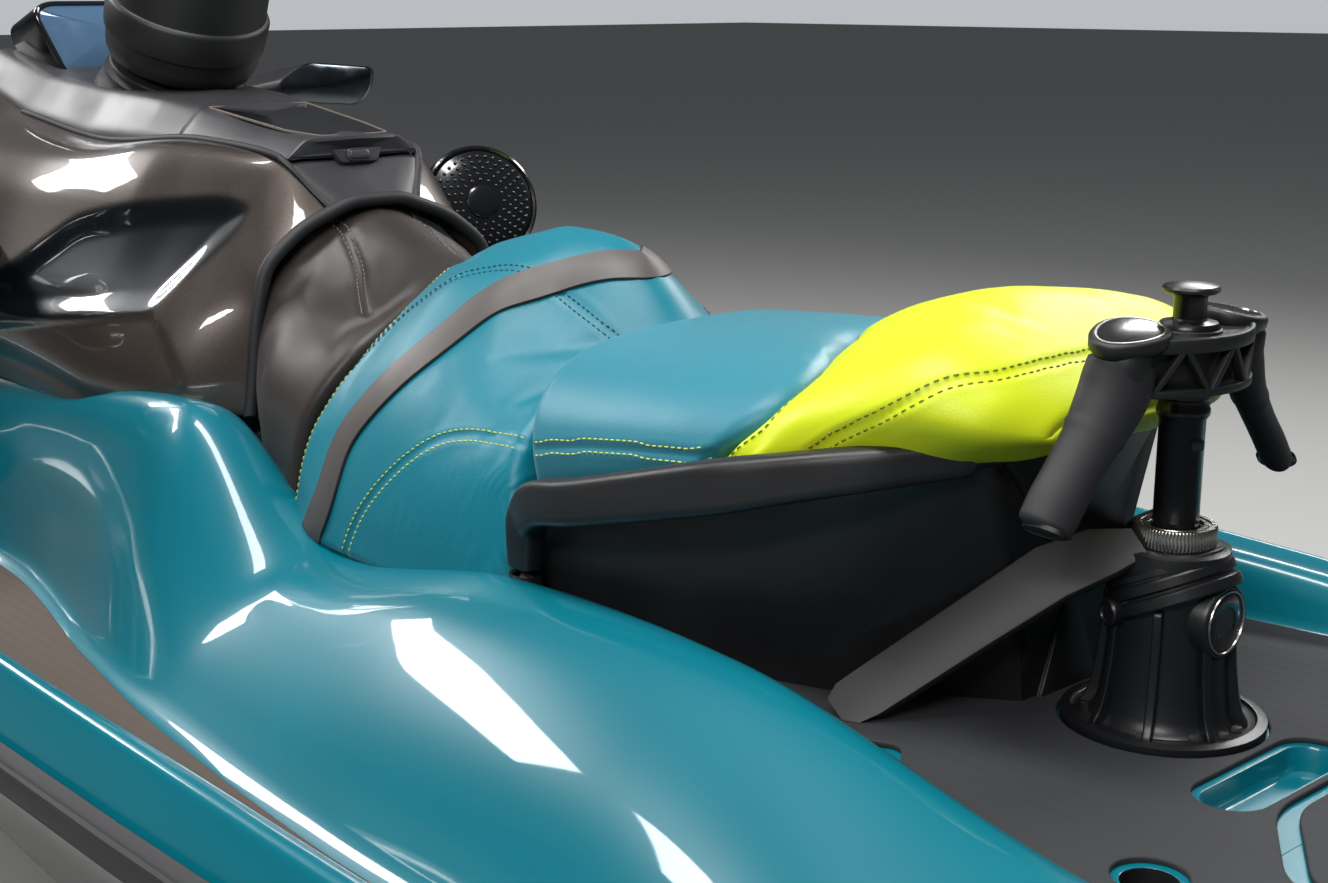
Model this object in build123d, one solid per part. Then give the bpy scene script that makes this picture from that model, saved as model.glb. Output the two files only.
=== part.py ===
from build123d import *
from math import cos, radians, sin
import os

# A three-seat personal watercraft for towing, afloat and parked.
# Millimetres. +X is forward, +Y is port and +Z is up.
# The origin is on the centreline, amidships, at the waterline.

# Whole craft
LENGTH = 3451.0
BEAM = 1255.0
DRAFT = 260.0
TOP_Z = 878.0
SEAT_GAP = 0.3
CLEAR = 6.0

STERN_X = -LENGTH / 2
BOW_X = LENGTH / 2
HALF_BEAM = BEAM / 2
KEEL_Z = -DRAFT

# Rub rail and shell
RAIL_THICK = 14.0
RAIL_HIGH = 44.0
STERN_BUMPER = 26.0
NOSE_LONG = 35.0
SHELL = 34.0
KEEL_PAD = 18.0
CHINE_FLAT = 42.0
CHINE_DROP = 9.0

# Platform
PLATFORM_Z = 220.0
MAT_THICK = 5.0
WELL_MAT_THICK = 5.0
WELL_MAT_EDGE = 0.06

# Engine in its bay
ENGINE_LONG = 640.0
ENGINE_WIDE = 380.0
ENGINE_HIGH = 350.0
ENGINE_REAR_X = -520.0
BAY_SPACE = 40.0
BAY_FLOOR_Z = -150.0

# Jet pump
PUMP_Z = -130.0
PUMP_BORE_R = 80.0
PUMP_WALL = 12.0
PUMP_FLANGE_R = 108.0
PUMP_FLANGE = 14.0
PUMP_FRONT_X = -1200.0
PUMP_LONG = 340.0
PUMP_STRAIGHT = 200.0
PUMP_TAIL = 50.0
TAIL_WALL = 6.0
VENTURI_R = 50.0
STATOR_HUB_R = 34.0
STATOR_VANES = 7
VANE_THICK = 5.0
IMPELLER_R = 74.0
IMPELLER_LONG = 70.0
IMPELLER_HUB_R = 30.0
IMPELLER_BLADES = 4
BLADE_THICK = 6.0
SHAFT_R = 15.0
TUNNEL_HALF = 152.0
TUNNEL_ROOF_Z = 98.0
TUNNEL_STEP_X = -1385.0
PUMP_ROOF_Z = -14.0
INTAKE_FRONT_X = -760.0
INTAKE_HALF = 88.0

# Steering nozzle and reverse bucket
NOZZLE_LONG = 118.0
NOZZLE_LEAD = 15.0
NOZZLE_MOUTH_R = 74.0
NOZZLE_EXIT_R = 42.0
NOZZLE_WALL = 6.0
NOZZLE_PIN_R = 8.0
NOZZLE_EAR = 10.0
PIN_FIT = 0.3
BUCKET_PIVOT_X = -1470.0
BUCKET_R = 205.0
BUCKET_THICK = 9.0
BUCKET_ARM_Y = 106.0
BUCKET_ARM = 8.0
BUCKET_LOW_DEG = 42.0
BUCKET_HIGH_DEG = 108.0
BUCKET_PIN_R = 10.0

# Ride plate and sponsons
PLATE_THICK = 12.0
PLATE_LONG = 355.0
SPONSON_LONG = 560.0
SPONSON_REAR_X = -1560.0
SPONSON_OUT = 30.0

# Tow pylon
PYLON_X = -1215.0
PYLON_DISC_R = 80.0
PYLON_DISC = 6.0
PYLON_RING_R = 31.0
PYLON_RING = 16.0
PYLON_RING_TOP = 375.0
POST_R = 17.0
POST_WELL_Z = 50.0
POST_FOOT_Z = 62.0
COLLAR_Z = 468.0
HEAD_LOW_Z = 480.0
HEAD_TOP_Z = 520.0
SPOOL_TOP_Z = 556.0
SPOOL_R = 20.0
SPOOL_NECK_R = 12.0
GRIP_R = 16.0
STRUT_WIDE = 36.0
STRUT_THICK = 14.0

# Steering column, raked back
COLUMN_X = 313.0
COLUMN_Z = 635.0
COLUMN_RAKE = 25.0
COLUMN_R = 30.0
BOOT_R = 48.0
BOOT_HIGH = 58.0
CLAMP_RISE = 196.0
BAR_R = 11.0
BAR_HALF = 395.0
GRIP_LONG = 130.0
HAND_GRIP_R = 17.0

# Glovebox
BOX_REAR_X = -165.0
BOX_FRONT_X = 150.0
BOX_HALF = 78.0
BOX_FLOOR_Z = 480.0
LID_REAR_X = -200.0
LID_FRONT_X = 215.0
LID_THICK = 34.0
LID_PIN_R = 7.0

# Front storage
BIN_REAR_X = 700.0
BIN_FRONT_X = 1180.0
BIN_HALF = 170.0
BIN_FLOOR_Z = 160.0
BIN_TOP_Z = 350.0
BIN_WALL = 5.0
HOOD_REAR_X = 586.0
HOOD_FRONT_X = 1490.0
HOOD_THICK = 28.0
HOOD_GAP = 0.8
HOOD_HINGE_BACK = 10.0
HOOD_HINGE_Z = 345.0
HOOD_PIN_R = 6.0
HOOD_EAR_R = 11.0
HOOD_EAR_Y = 30.0
HOOD_EAR = 8.0
COWL_FRONT_X = 580.0

# Hull stations, from the stern to the bow, each at its share of the half length.
# x, keel z, chine y, chine z, inset of the rail line from the rail's outside, rail line z, tub floor z
HULL = [
    (STERN_X + STERN_BUMPER, KEEL_Z + 4, 500, -95, 68, 140, 92),
    (-0.81 * BOW_X, KEEL_Z, 510, -95, 28, 132, 90),
    (-0.58 * BOW_X, KEEL_Z, 512, -92, 9, 124, 45),
    (-0.405 * BOW_X, KEEL_Z, 510, -88, 3, 121, 32),
    (-0.232 * BOW_X, KEEL_Z, 506, -85, 0, 120, 30),
    (-0.116 * BOW_X, KEEL_Z, 500, -82, 0, 121, 30),
    (0.116 * BOW_X, KEEL_Z, 480, -72, 4, 128, 32),
    (0.348 * BOW_X, KEEL_Z + 6, 430, -52, 36, 152, 40),
    (0.58 * BOW_X, KEEL_Z + 36, 340, -10, 126, 192, 90),
    (0.754 * BOW_X, KEEL_Z + 112, 225, 50, 262, 230, 150),
    (0.887 * BOW_X, KEEL_Z + 242, 115, 120, 412, 258, 205),
    (BOW_X - NOSE_LONG, KEEL_Z + 440, 32, 214, 546, 278, 252),
]
BOW_STATION = 7

# Deck stations at the same x: half outline as (y, z) pairs from the centre outwards.
# centre, bed edge, inner crest, outer crest, flank, foot of flank, floor edge, gunwale inside, gunwale outside
DECK = [
    [(0, 205), (250, 205), (262, 216), (380, 218), (450, 208), (480, 203), (498, 200), (514, 196), (532, 186)],
    [(0, 215), (285, 215), (300, 240), (345, 243), (430, 216), (492, 190), (518, 187), (543, 186), (570, 178)],
    [(0, 215), (238, 215), (248, 278), (297, 272), (385, 208), (462, 92), (510, 84), (538, 160), (580, 190)],
    [(0, 215), (205, 215), (222, 262), (300, 248), (374, 182), (449, 80), (518, 72), (540, 162), (585, 197)],
    [(0, 215), (200, 214), (238, 212), (300, 200), (362, 150), (424, 80), (522, 72), (545, 166), (588, 202)],
    [(0, 250), (180, 250), (228, 330), (290, 342), (345, 214), (391, 80), (524, 73), (546, 174), (588, 208)],
    [(0, 285), (190, 285), (230, 298), (276, 302), (302, 200), (318, 80), (518, 77), (543, 192), (584, 222)],
    [(0, 320), (205, 320), (300, 316), (350, 300), (380, 240), (400, 175), (478, 172), (515, 236), (548, 246)],
    [(0, 345), (210, 340), (260, 334), (310, 326), (345, 318), (370, 311), (395, 304), (420, 296), (462, 280)],
    [(0, 345), (130, 342), (165, 338), (200, 333), (230, 327), (255, 321), (280, 314), (302, 306), (332, 294)],
    [(0, 335), (60, 334), (80, 332), (100, 329), (118, 326), (135, 322), (152, 317), (168, 312), (186, 302)],
    [(0, 322), (14, 322), (20, 321), (26, 320), (32, 318), (38, 316), (44, 313), (50, 310), (56, 304)],
]


def outline(x, half):
    """A closed outline across the craft at x, mirrored from half of it."""
    port = [(x, y, z) for y, z in half]
    starboard = [(x, -y, z) for y, z in reversed(half) if y > 0]
    return make_face(Polyline(*port, *starboard, close=True))


def side_outline(x, points):
    """A closed outline across the craft at x, on the port side alone."""
    return make_face(Polyline(*[(x, y, z) for y, z in points], close=True))


def starboard_of(shape):
    return mirror(shape, about=Plane.XZ)


def block(x0, x1, y0, y1, z0, z1):
    """A plain block between two corners."""
    size = (x1 - x0, y1 - y0, z1 - z0)
    return Pos((x0 + x1) / 2, (y0 + y1) / 2, (z0 + z1) / 2) * Box(*size)


def rod(start, end, radius):
    """A round rod from one point to another."""
    a, b = Vector(*start), Vector(*end)
    line = b - a
    return extrude(Plane(origin=a, z_dir=line) * Circle(radius), line.length)


def rail_line(row):
    x, keel, chine_y, chine_z, inset, rail_z, tub_z = row
    return x, HALF_BEAM - RAIL_THICK - inset, rail_z


def hull_half(row):
    """Half of the hull's outline, from the keel out to the rail line and back along the tub."""
    x, keel, chine_y, chine_z, inset, rail_z, tub_z = row
    rail_y = HALF_BEAM - RAIL_THICK - inset
    flat = CHINE_FLAT * chine_y / 512
    inner_y = chine_y - flat
    strake_y = 0.5 * inner_y
    ledge = 0.045 * inner_y
    strake_z = keel + 0.5 * (chine_z - keel)
    drop = CHINE_DROP * chine_y / 512
    knuckle_y = chine_y + 0.72 * (rail_y - chine_y)
    knuckle_z = chine_z + 0.55 * (rail_z - chine_z)
    wall = min(SHELL, 0.4 * rail_y)
    return [
        (0, keel), (min(KEEL_PAD, 0.2 * chine_y), keel + 1),
        (strake_y, strake_z), (strake_y + ledge, strake_z - 2),
        (inner_y, chine_z), (chine_y, chine_z - drop),
        (knuckle_y, knuckle_z), (rail_y, rail_z),
        (rail_y - wall, rail_z), (rail_y - wall, tub_z), (0, tub_z),
    ]


def deck_half(row, top):
    """Half of the deck's outline, from the tub floor out along the tub and back over the top."""
    x, keel, chine_y, chine_z, inset, rail_z, tub_z = row
    rail_y = HALF_BEAM - RAIL_THICK - inset
    wall = min(SHELL, 0.4 * rail_y)
    base = [(0, tub_z), (rail_y - wall, tub_z), (rail_y - wall, rail_z), (rail_y, rail_z)]
    return base + list(reversed(top))


def middle_half(row, top):
    """Half of the deck's middle, out to the foot of its flank, where the footwell starts."""
    tub_z = row[6]
    foot_y = top[5][0]
    return [(0, tub_z), (foot_y, tub_z)] + list(reversed(top[:6]))


def footwell_outline(row, top):
    """The port footwell: its floor, its rising gunwale and the flange along the rail line."""
    x, keel, chine_y, chine_z, inset, rail_z, tub_z = row
    rail_y = HALF_BEAM - RAIL_THICK - inset
    wall = min(SHELL, 0.4 * rail_y)
    foot_y = top[5][0]
    base = [(foot_y, tub_z), (rail_y - wall, tub_z), (rail_y - wall, rail_z), (rail_y, rail_z)]
    return base + list(reversed(top[5:]))


def make_hull():
    shape = loft([outline(row[0], hull_half(row)) for row in HULL], ruled=True)
    shape -= bay()
    shape -= tunnel()
    shape -= shaft_hole()
    shape -= post_well()
    return shape


def bay():
    """The engine bay, with room around the engine and a flat floor."""
    rear = ENGINE_REAR_X - BAY_SPACE
    front = ENGINE_REAR_X + ENGINE_LONG + BAY_SPACE
    half = ENGINE_WIDE / 2 + BAY_SPACE
    return block(rear, front, -half, half, BAY_FLOOR_Z, BAY_FLOOR_Z + ENGINE_HIGH + BAY_SPACE / 2)


def tunnel():
    """The pump tunnel, its open end at the transom and the sloping intake ahead of it."""
    step = TUNNEL_STEP_X
    stern_part = block(STERN_X - 10, step, -TUNNEL_HALF, TUNNEL_HALF, KEEL_Z - 20, TUNNEL_ROOF_Z)
    pump_part = block(step, PUMP_FRONT_X, -TUNNEL_HALF, TUNNEL_HALF, KEEL_Z - 20, PUMP_ROOF_Z)
    mouth = make_face(Polyline(
        (PUMP_FRONT_X, 0, PUMP_Z + 70), (PUMP_FRONT_X, 0, KEEL_Z - 20),
        (INTAKE_FRONT_X, 0, KEEL_Z - 20), (INTAKE_FRONT_X - 60, 0, KEEL_Z + 40),
        (PUMP_FRONT_X + 130, 0, PUMP_Z + 62), close=True))
    duct = extrude(mouth, INTAKE_HALF, both=True)
    return stern_part + pump_part + duct


def shaft_hole():
    return rod((ENGINE_REAR_X - BAY_SPACE + 1, 0, PUMP_Z), (PUMP_FRONT_X, 0, PUMP_Z), SHAFT_R + CLEAR)


def post_well():
    return rod((PYLON_X, 0, POST_WELL_Z), (PYLON_X, 0, PLATFORM_Z + 40), POST_R + CLEAR)


def make_deck():
    """The deck between the footwells, with the bed that the seats stand on and the platform."""
    rows = list(zip(HULL, DECK))[:BOW_STATION + 1]
    shape = loft([outline(row[0], middle_half(row, top)) for row, top in rows], ruled=True)
    shape -= bay()
    shape -= tunnel()
    shape -= post_well()
    return shape


def make_footwells():
    rows = list(zip(HULL, DECK))[:BOW_STATION + 1]
    port = loft([side_outline(row[0], footwell_outline(row, top)) for row, top in rows], ruled=True)
    return port + starboard_of(port)


def make_bow_deck():
    """The deck ahead of the footwells, with the pocket for the storage bin and the lid's hinge ears."""
    rows = list(zip(HULL, DECK))[BOW_STATION:]
    shape = loft([outline(row[0], deck_half(row, top)) for row, top in rows], ruled=True)
    shape -= bin_pocket()
    x, z = hood_hinge_x(), HOOD_HINGE_Z
    for y in (-HOOD_EAR_Y, HOOD_EAR_Y):
        y0, y1 = y - HOOD_EAR / 2, y + HOOD_EAR / 2
        ear = rod((x, y0, z), (x, y1, z), HOOD_EAR_R)
        ear += block(x - HOOD_EAR_R, x + HOOD_EAR_R, y0, y1, z - 20, z)
        shape += ear
    reach = HOOD_EAR_Y + HOOD_EAR
    return shape - rod((x, -reach, z), (x, reach, z), HOOD_PIN_R + PIN_FIT)


def hood_hinge_x():
    return HOOD_FRONT_X - HOOD_HINGE_BACK


def bin_pocket():
    return block(BIN_REAR_X, BIN_FRONT_X, -BIN_HALF, BIN_HALF, BIN_FLOOR_Z, BIN_TOP_Z + 40)


def make_rub_rail():
    """The rail along the join of hull and deck, with the bumpers across the bow and the stern."""
    rows = []
    for row in HULL:
        x, y, z = rail_line(row)
        half_high = RAIL_HIGH / 2
        edge = RAIL_THICK * 0.7
        rows.append(side_outline(x, [
            (y, z - half_high), (y + RAIL_THICK, z - half_high + edge),
            (y + RAIL_THICK, z + half_high - edge), (y, z + half_high)]))
    port = loft(rows, ruled=True)
    nose_x, nose_y, nose_z = rail_line(HULL[-1])
    nose = extrude(make_face(Polyline(
        (nose_x, nose_y + RAIL_THICK, nose_z), (nose_x, -nose_y - RAIL_THICK, nose_z),
        (BOW_X, -0.45 * nose_y, nose_z), (BOW_X, 0.45 * nose_y, nose_z), close=True)), RAIL_HIGH / 2, both=True)
    stern_x, stern_y, stern_z = rail_line(HULL[0])
    stern = block(STERN_X, stern_x, -stern_y - RAIL_THICK, stern_y + RAIL_THICK, stern_z - 12, stern_z + 30)
    return port + starboard_of(port) + nose + stern


def make_engine():
    return block(ENGINE_REAR_X, ENGINE_REAR_X + ENGINE_LONG, -ENGINE_WIDE / 2, ENGINE_WIDE / 2,
                 BAY_FLOOR_Z, BAY_FLOOR_Z + ENGINE_HIGH)


def across(rows):
    """A solid through mirrored outlines, from rows of (x, half outline)."""
    return loft([outline(x, half) for x, half in rows], ruled=True)


def port_side(rows):
    """A solid through outlines on the port side, from rows of (x, outline)."""
    return loft([side_outline(x, points) for x, points in rows], ruled=True)


def grown(half, by):
    """A half outline moved outwards, point by point, along its own normals."""
    moved = []
    last = len(half) - 1
    for i, (y, z) in enumerate(half):
        y0, z0 = half[max(i - 1, 0)]
        y1, z1 = half[min(i + 1, last)]
        side = Vector(z1 - z0, y0 - y1, 0).normalized()
        moved.append((y if y == 0 else y + by * side.X, z + by * side.Y))
    return moved


# Seat base, black, under the passengers: x and half outline
SHROUD = [
    (-690, [(0, 200), (190, 200), (208, 300), (190, 335), (0, 335)]),
    (-850, [(0, 200), (190, 200), (196, 300), (185, 360), (0, 360)]),
    (-1000, [(0, 200), (150, 200), (165, 300), (175, 392), (0, 392)]),
    (-1090, [(0, 200), (75, 200), (105, 300), (150, 420), (0, 420)]),
    (-1130, [(0, 200), (50, 200), (60, 300), (110, 432), (0, 432)]),
]

# Driver's seat with its knee pad
DRIVER = [
    (-160, [(0, 280), (182, 280), (186, 360), (176, 440), (150, 490), (90, 517), (0, 525)]),
    (-230, [(0, 240), (198, 240), (206, 350), (188, 420), (150, 468), (90, 492), (0, 498)]),
    (-350, [(0, 212), (233, 212), (212, 300), (178, 370), (136, 425), (80, 450), (0, 455)]),
    (-450, [(0, 212), (238, 212), (222, 300), (196, 390), (158, 450), (85, 485), (0, 493)]),
    (-570, [(0, 212), (240, 212), (226, 300), (206, 390), (170, 470), (92, 528), (0, 538)]),
    (-640, [(0, 212), (238, 212), (225, 300), (206, 380), (168, 455), (92, 507), (0, 517)]),
    (-694, [(0, 230), (232, 230), (222, 300), (204, 370), (165, 425), (92, 462), (0, 470)]),
]
KNEE_LOW_X = -298.0
KNEE_TOP_X = -352.0
SEAT_LOW_Z = 212.0
SEAT_HIGH_Z = 530.0

PASSENGER = [
    (-697, [(0, 320), (204, 320), (212, 370), (196, 412), (150, 445), (85, 462), (0, 467)]),
    (-800, [(0, 340), (200, 340), (212, 385), (196, 425), (150, 455), (80, 469), (0, 473)]),
    (-898, [(0, 360), (196, 360), (210, 398), (194, 436), (150, 462), (80, 472), (0, 475)]),
]

BOLSTER = [
    (-898, [(0, 365), (190, 365), (208, 400), (193, 437), (150, 463), (80, 473), (0, 476)]),
    (-985, [(0, 385), (188, 385), (200, 440), (185, 470), (150, 492), (80, 510), (0, 515)]),
    (-1072, [(0, 410), (160, 410), (190, 455), (178, 486), (145, 512), (80, 528), (0, 534)]),
    (-1140, [(0, 425), (105, 425), (165, 450), (155, 475), (125, 492), (70, 500), (0, 504)]),
    (-1184, [(0, 438), (60, 438), (110, 446), (105, 455), (85, 462), (50, 466), (0, 468)]),
]

# Strap over the seat, seen from the side: x, z down its middle
STRAP_LINE = [(-368, 205), (-420, 310), (-505, 405), (-590, 470), (-640, 505), (-672, 560)]
STRAP_WIDE = 38.0
STRAP_THICK = 3.0


def make_shroud(deck):
    return across(SHROUD) - deck


def knee_side():
    """The space ahead of the slanted seam between the knee pad and the seat."""
    lean = (KNEE_TOP_X - KNEE_LOW_X) / (SEAT_HIGH_Z - SEAT_LOW_Z)
    low = KNEE_LOW_X + lean * -60
    high = KNEE_TOP_X + lean * 60
    side = Polyline((low, 0, SEAT_LOW_Z - 60), (0, 0, SEAT_LOW_Z - 60),
                    (0, 0, SEAT_HIGH_Z + 60), (high, 0, SEAT_HIGH_Z + 60), close=True)
    return extrude(make_face(side), 300, both=True)


def make_driver_seats(deck, shroud):
    whole = across(DRIVER) - deck - shroud
    return whole & knee_side(), whole - knee_side()


def make_strap(driver, deck):
    """The strap, as thick as its webbing, lying on the driver's seat all round."""
    shell = across([(x, grown(half, STRAP_THICK)) for x, half in DRIVER])
    edge = STRAP_WIDE / 2
    fore, aft = [], []
    last = len(STRAP_LINE) - 1
    for i, (x, z) in enumerate(STRAP_LINE):
        x0, z0 = STRAP_LINE[max(i - 1, 0)]
        x1, z1 = STRAP_LINE[min(i + 1, last)]
        side = Vector(z1 - z0, x0 - x1, 0).normalized()
        fore.append((x + edge * side.X, 0, z + edge * side.Y))
        aft.append((x - edge * side.X, 0, z - edge * side.Y))
    band = extrude(make_face(Polyline(*fore, *reversed(aft), close=True)), 300, both=True)
    return (shell & band) - driver - deck


# Grab rail, port side: x, y, z down its middle, and how wide and high it is there
GRAB = [
    (-705, 222, 312, 26, 30),
    (-790, 240, 345, 30, 40),
    (-955, 236, 392, 30, 42),
    (-1060, 190, 418, 28, 34),
    (-1120, 118, 428, 24, 28),
]


def make_grab_rails(shroud, bolster, passenger, driver):
    rows = []
    for x, y, z, wide, high in GRAB:
        rows.append(side_outline(x, [(y - wide / 2, z - high / 2), (y + wide / 2, z - high / 2),
                                     (y + wide / 2, z + high / 2), (y - wide / 2, z + high / 2)]))
    port = loft(rows, ruled=True) - shroud - bolster - passenger - driver
    return port + starboard_of(port)


# Side panels beside the console, port side
SIDE_PANEL = [
    (-235, [(150, 300), (255, 300), (262, 345), (240, 400), (216, 470), (200, 540), (178, 575), (150, 578)]),
    (-100, [(150, 250), (285, 300), (286, 345), (268, 420), (240, 500), (226, 560), (190, 590), (150, 592)]),
    (60, [(150, 270), (275, 285), (290, 330), (296, 400), (272, 480), (240, 560), (180, 588), (150, 590)]),
    (250, [(150, 270), (280, 285), (300, 330), (318, 400), (290, 480), (250, 545), (190, 566), (150, 568)]),
    (450, [(150, 270), (320, 285), (345, 330), (350, 400), (325, 490), (285, 560), (215, 592), (150, 604)]),
    (COWL_FRONT_X, [(150, 300), (355, 300), (364, 330), (366, 400), (338, 498), (262, 598), (220, 625), (150, 640)]),
]

# Console between the side panels
CONSOLE = [
    (BOX_REAR_X, [(0, 240), (150, 240), (150, 552), (116, 566), (0, 566)]),
    (240, [(0, 260), (150, 260), (150, 566), (122, 596), (0, 596)]),
    (420, [(0, 270), (150, 270), (150, 600), (122, 646), (0, 652)]),
    (COWL_FRONT_X, [(0, 300), (150, 300), (150, 640), (120, 680), (0, 690)]),
]
CONSOLE_REAR_Z = 566.0
CONSOLE_FORE_Z = 596.0
CONSOLE_FORE_X = 240.0
LID_HALF_REAR = 88.0
LID_HALF_FORE = 110.0


def console_top(x):
    """Height of the console's flat top under the glovebox lid."""
    slope = (CONSOLE_FORE_Z - CONSOLE_REAR_Z) / (CONSOLE_FORE_X - BOX_REAR_X)
    return CONSOLE_REAR_Z + slope * (x - BOX_REAR_X)


def make_side_panel(deck, knee, seat):
    return port_side(SIDE_PANEL) - deck - knee - seat


def make_console(deck, knee):
    shape = across(CONSOLE) - deck - knee
    shape -= block(BOX_REAR_X + 15, BOX_FRONT_X, -BOX_HALF, BOX_HALF, BOX_FLOOR_Z, CONSOLE_FORE_Z + 60)
    return shape


def make_glovebox_lid():
    """The lid, rounded at its front about the hinge line that it turns on."""
    rows = []
    for x, half, rise in ((LID_REAR_X, LID_HALF_REAR, LID_THICK), (LID_FRONT_X, LID_HALF_FORE, LID_THICK + 8)):
        z = console_top(x) + SEAT_GAP
        rows.append((x, [(0, z), (half - 4, z), (half, z + rise * 0.6), (half - 12, z + rise), (0, z + rise + 2)]))
    x = LID_FRONT_X - LID_PIN_R
    z = console_top(x) + SEAT_GAP + LID_PIN_R
    shape = across(rows) - block(x, LID_FRONT_X + 1, -2 * LID_HALF_FORE, 2 * LID_HALF_FORE, z - 2 * LID_PIN_R, z)
    half = LID_HALF_FORE - 8
    return shape + rod((x, -half, z), (x, half, z), LID_PIN_R)


def column_point(s, y=0.0, off=0.0):
    """A point at s along the steering column, y to port and off ahead of its line."""
    rake = radians(COLUMN_RAKE)
    return (COLUMN_X - s * sin(rake) + off * cos(rake), y, COLUMN_Z + s * cos(rake) + off * sin(rake))


def make_boot(console):
    line = Vector(*column_point(1)) - Vector(*column_point(0))
    low = Plane(origin=column_point(-60), z_dir=line) * Circle(BOOT_R + 8)
    mid = Plane(origin=column_point(10), z_dir=line) * Circle(BOOT_R)
    high = Plane(origin=column_point(BOOT_HIGH), z_dir=line) * Circle(COLUMN_R + 6)
    return loft([low, mid, high], ruled=True) - console


# Handlebar, port half, from the clamp out: y, ahead of the column line, along the column
BAR = [(0, 0, CLAMP_RISE), (92, -14, CLAMP_RISE + 22), (246, -48, CLAMP_RISE + 22), (BAR_HALF, -78, CLAMP_RISE + 8)]


def bar_points():
    return [column_point(s, y, off) for y, off, s in BAR]


def along(points, back):
    """The point that lies back from the bar's end, on its last run."""
    end, before = Vector(*points[-1]), Vector(*points[-2])
    return end + (before - end).normalized() * back


def make_handlebar():
    points = bar_points()
    shape = rod(column_point(BOOT_HIGH + SEAT_GAP), column_point(CLAMP_RISE), COLUMN_R)
    for side in (1, -1):
        spots = [(x, side * y, z) for x, y, z in points]
        for a, b in zip(spots, spots[1:]):
            shape += rod(a, b, BAR_R)
        for spot in spots[:-1]:
            shape += Pos(*spot) * Sphere(BAR_R)
    hub = Plane(origin=column_point(CLAMP_RISE - 24), z_dir=Vector(*column_point(1)) - Vector(*column_point(0)))
    shape += hub * Pos(0, 0, 24) * Box(70, 90, 48)
    return shape


def make_grips():
    points = bar_points()
    start = along(points, GRIP_LONG)
    end = along(points, -4)
    port = rod(start, end, HAND_GRIP_R) - rod(start, points[-1], BAR_R)
    return port + starboard_of(port)


def make_levers(handlebar):
    """Brake and throttle levers on their perches, inboard of the grips."""
    points = bar_points()
    inner, outer = along(points, GRIP_LONG + 26), along(points, GRIP_LONG + 2)
    perch = rod(inner, outer, HAND_GRIP_R + 3)
    middle = (inner + outer) / 2
    reach = (Vector(*points[-1]) - inner).normalized()
    ahead = Vector(52, 0, -12)
    perch += rod(middle, middle + ahead, 9)
    perch += rod(middle + ahead, middle + ahead + reach * 110, 6)
    perch += Pos(*(middle + ahead)) * Sphere(9)
    perch -= handlebar
    return perch + starboard_of(perch)


def make_pad(handlebar):
    x, y, z = column_point(CLAMP_RISE)
    rows = []
    for dx, half, low, high in ((-62, 52, 12, 30), (-40, 78, 6, 44), (30, 84, 2, TOP_Z - z), (70, 60, 4, 40)):
        rows.append((x + dx, [(0, z + low), (half, z + low), (half * 0.9, z + high - 6), (half * 0.6, z + high),
                              (0, z + high)]))
    return across(rows) - handlebar


def make_gauge(console):
    side = make_face(Polyline((438, 0, 640), (470, 0, 742), (560, 0, 752), (572, 0, 680), (560, 0, 640), close=True))
    return extrude(side, 92, both=True) - console


# Hood over the front storage: x, centre, shoulder, turn, side, lower edge
HOOD = [
    (HOOD_REAR_X, [(0, 692), (150, 646), (255, 602), (336, 500), (365, 330)]),
    (800, [(0, 628), (140, 606), (250, 562), (325, 465), (345, 322)]),
    (1000, [(0, 566), (120, 550), (215, 515), (285, 430), (312, 322)]),
    (1250, [(0, 478), (90, 467), (150, 440), (195, 390), (215, 328)]),
    (HOOD_FRONT_X, [(0, 388), (30, 384), (58, 374), (78, 358), (90, 326)]),
]


def make_hood(bow_deck, deck):
    """The lid of the front storage, a shell that turns on a pin across its nose."""
    rows = []
    for x, top in HOOD:
        wall = min(HOOD_THICK, 0.3 * top[-1][0])
        inner = [(y if y == 0 else y - wall * 0.8, z - wall) for y, z in top[:-1]]
        edge = (top[-1][0] - wall, top[-1][1])
        rows.append((x, inner + [edge] + list(reversed(top))))
    raised = Pos(0, 0, HOOD_GAP)
    shape = across(rows) - raised * bow_deck - raised * deck
    x = hood_hinge_x()
    nose_half = HOOD[-1][1][-1][0]
    shape -= block(x, HOOD_FRONT_X + 1, -2 * nose_half, 2 * nose_half, HOOD_HINGE_Z - 60, HOOD_HINGE_Z + 3)
    reach = HOOD_EAR / 2 + HOOD_GAP
    for y in (-HOOD_EAR_Y, HOOD_EAR_Y):
        shape -= rod((x, y - reach, HOOD_HINGE_Z), (x, y + reach, HOOD_HINGE_Z), HOOD_EAR_R + HOOD_GAP)
        shape -= block(x, HOOD_FRONT_X + 1, y - reach, y + reach, HOOD_HINGE_Z, HOOD_HINGE_Z + HOOD_EAR_R + HOOD_GAP)
    half = nose_half - HOOD_THICK / 2
    return shape + rod((x, -half, HOOD_HINGE_Z), (x, half, HOOD_HINGE_Z), HOOD_PIN_R)


def make_bin():
    outer = block(BIN_REAR_X, BIN_FRONT_X, -BIN_HALF, BIN_HALF, BIN_FLOOR_Z, BIN_TOP_Z)
    inner = block(BIN_REAR_X + BIN_WALL, BIN_FRONT_X - BIN_WALL, -BIN_HALF + BIN_WALL, BIN_HALF - BIN_WALL,
                  BIN_FLOOR_Z + BIN_WALL, BIN_TOP_Z + 1)
    return outer - inner


def make_mirrors(hood):
    rear = [(282, 540), (330, 560), (440, 596), (452, 664), (335, 672), (300, 600)]
    fore = [(282, 520), (320, 540), (396, 596), (400, 636), (330, 640), (300, 590)]
    port = port_side([(640, rear), (765, fore)]) - hood
    return port + starboard_of(port)


def make_mirror_glass():
    face = [(334, 580), (430, 604), (440, 656), (344, 662)]
    port = port_side([(636, face), (640, face)])
    return port + starboard_of(port)


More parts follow.
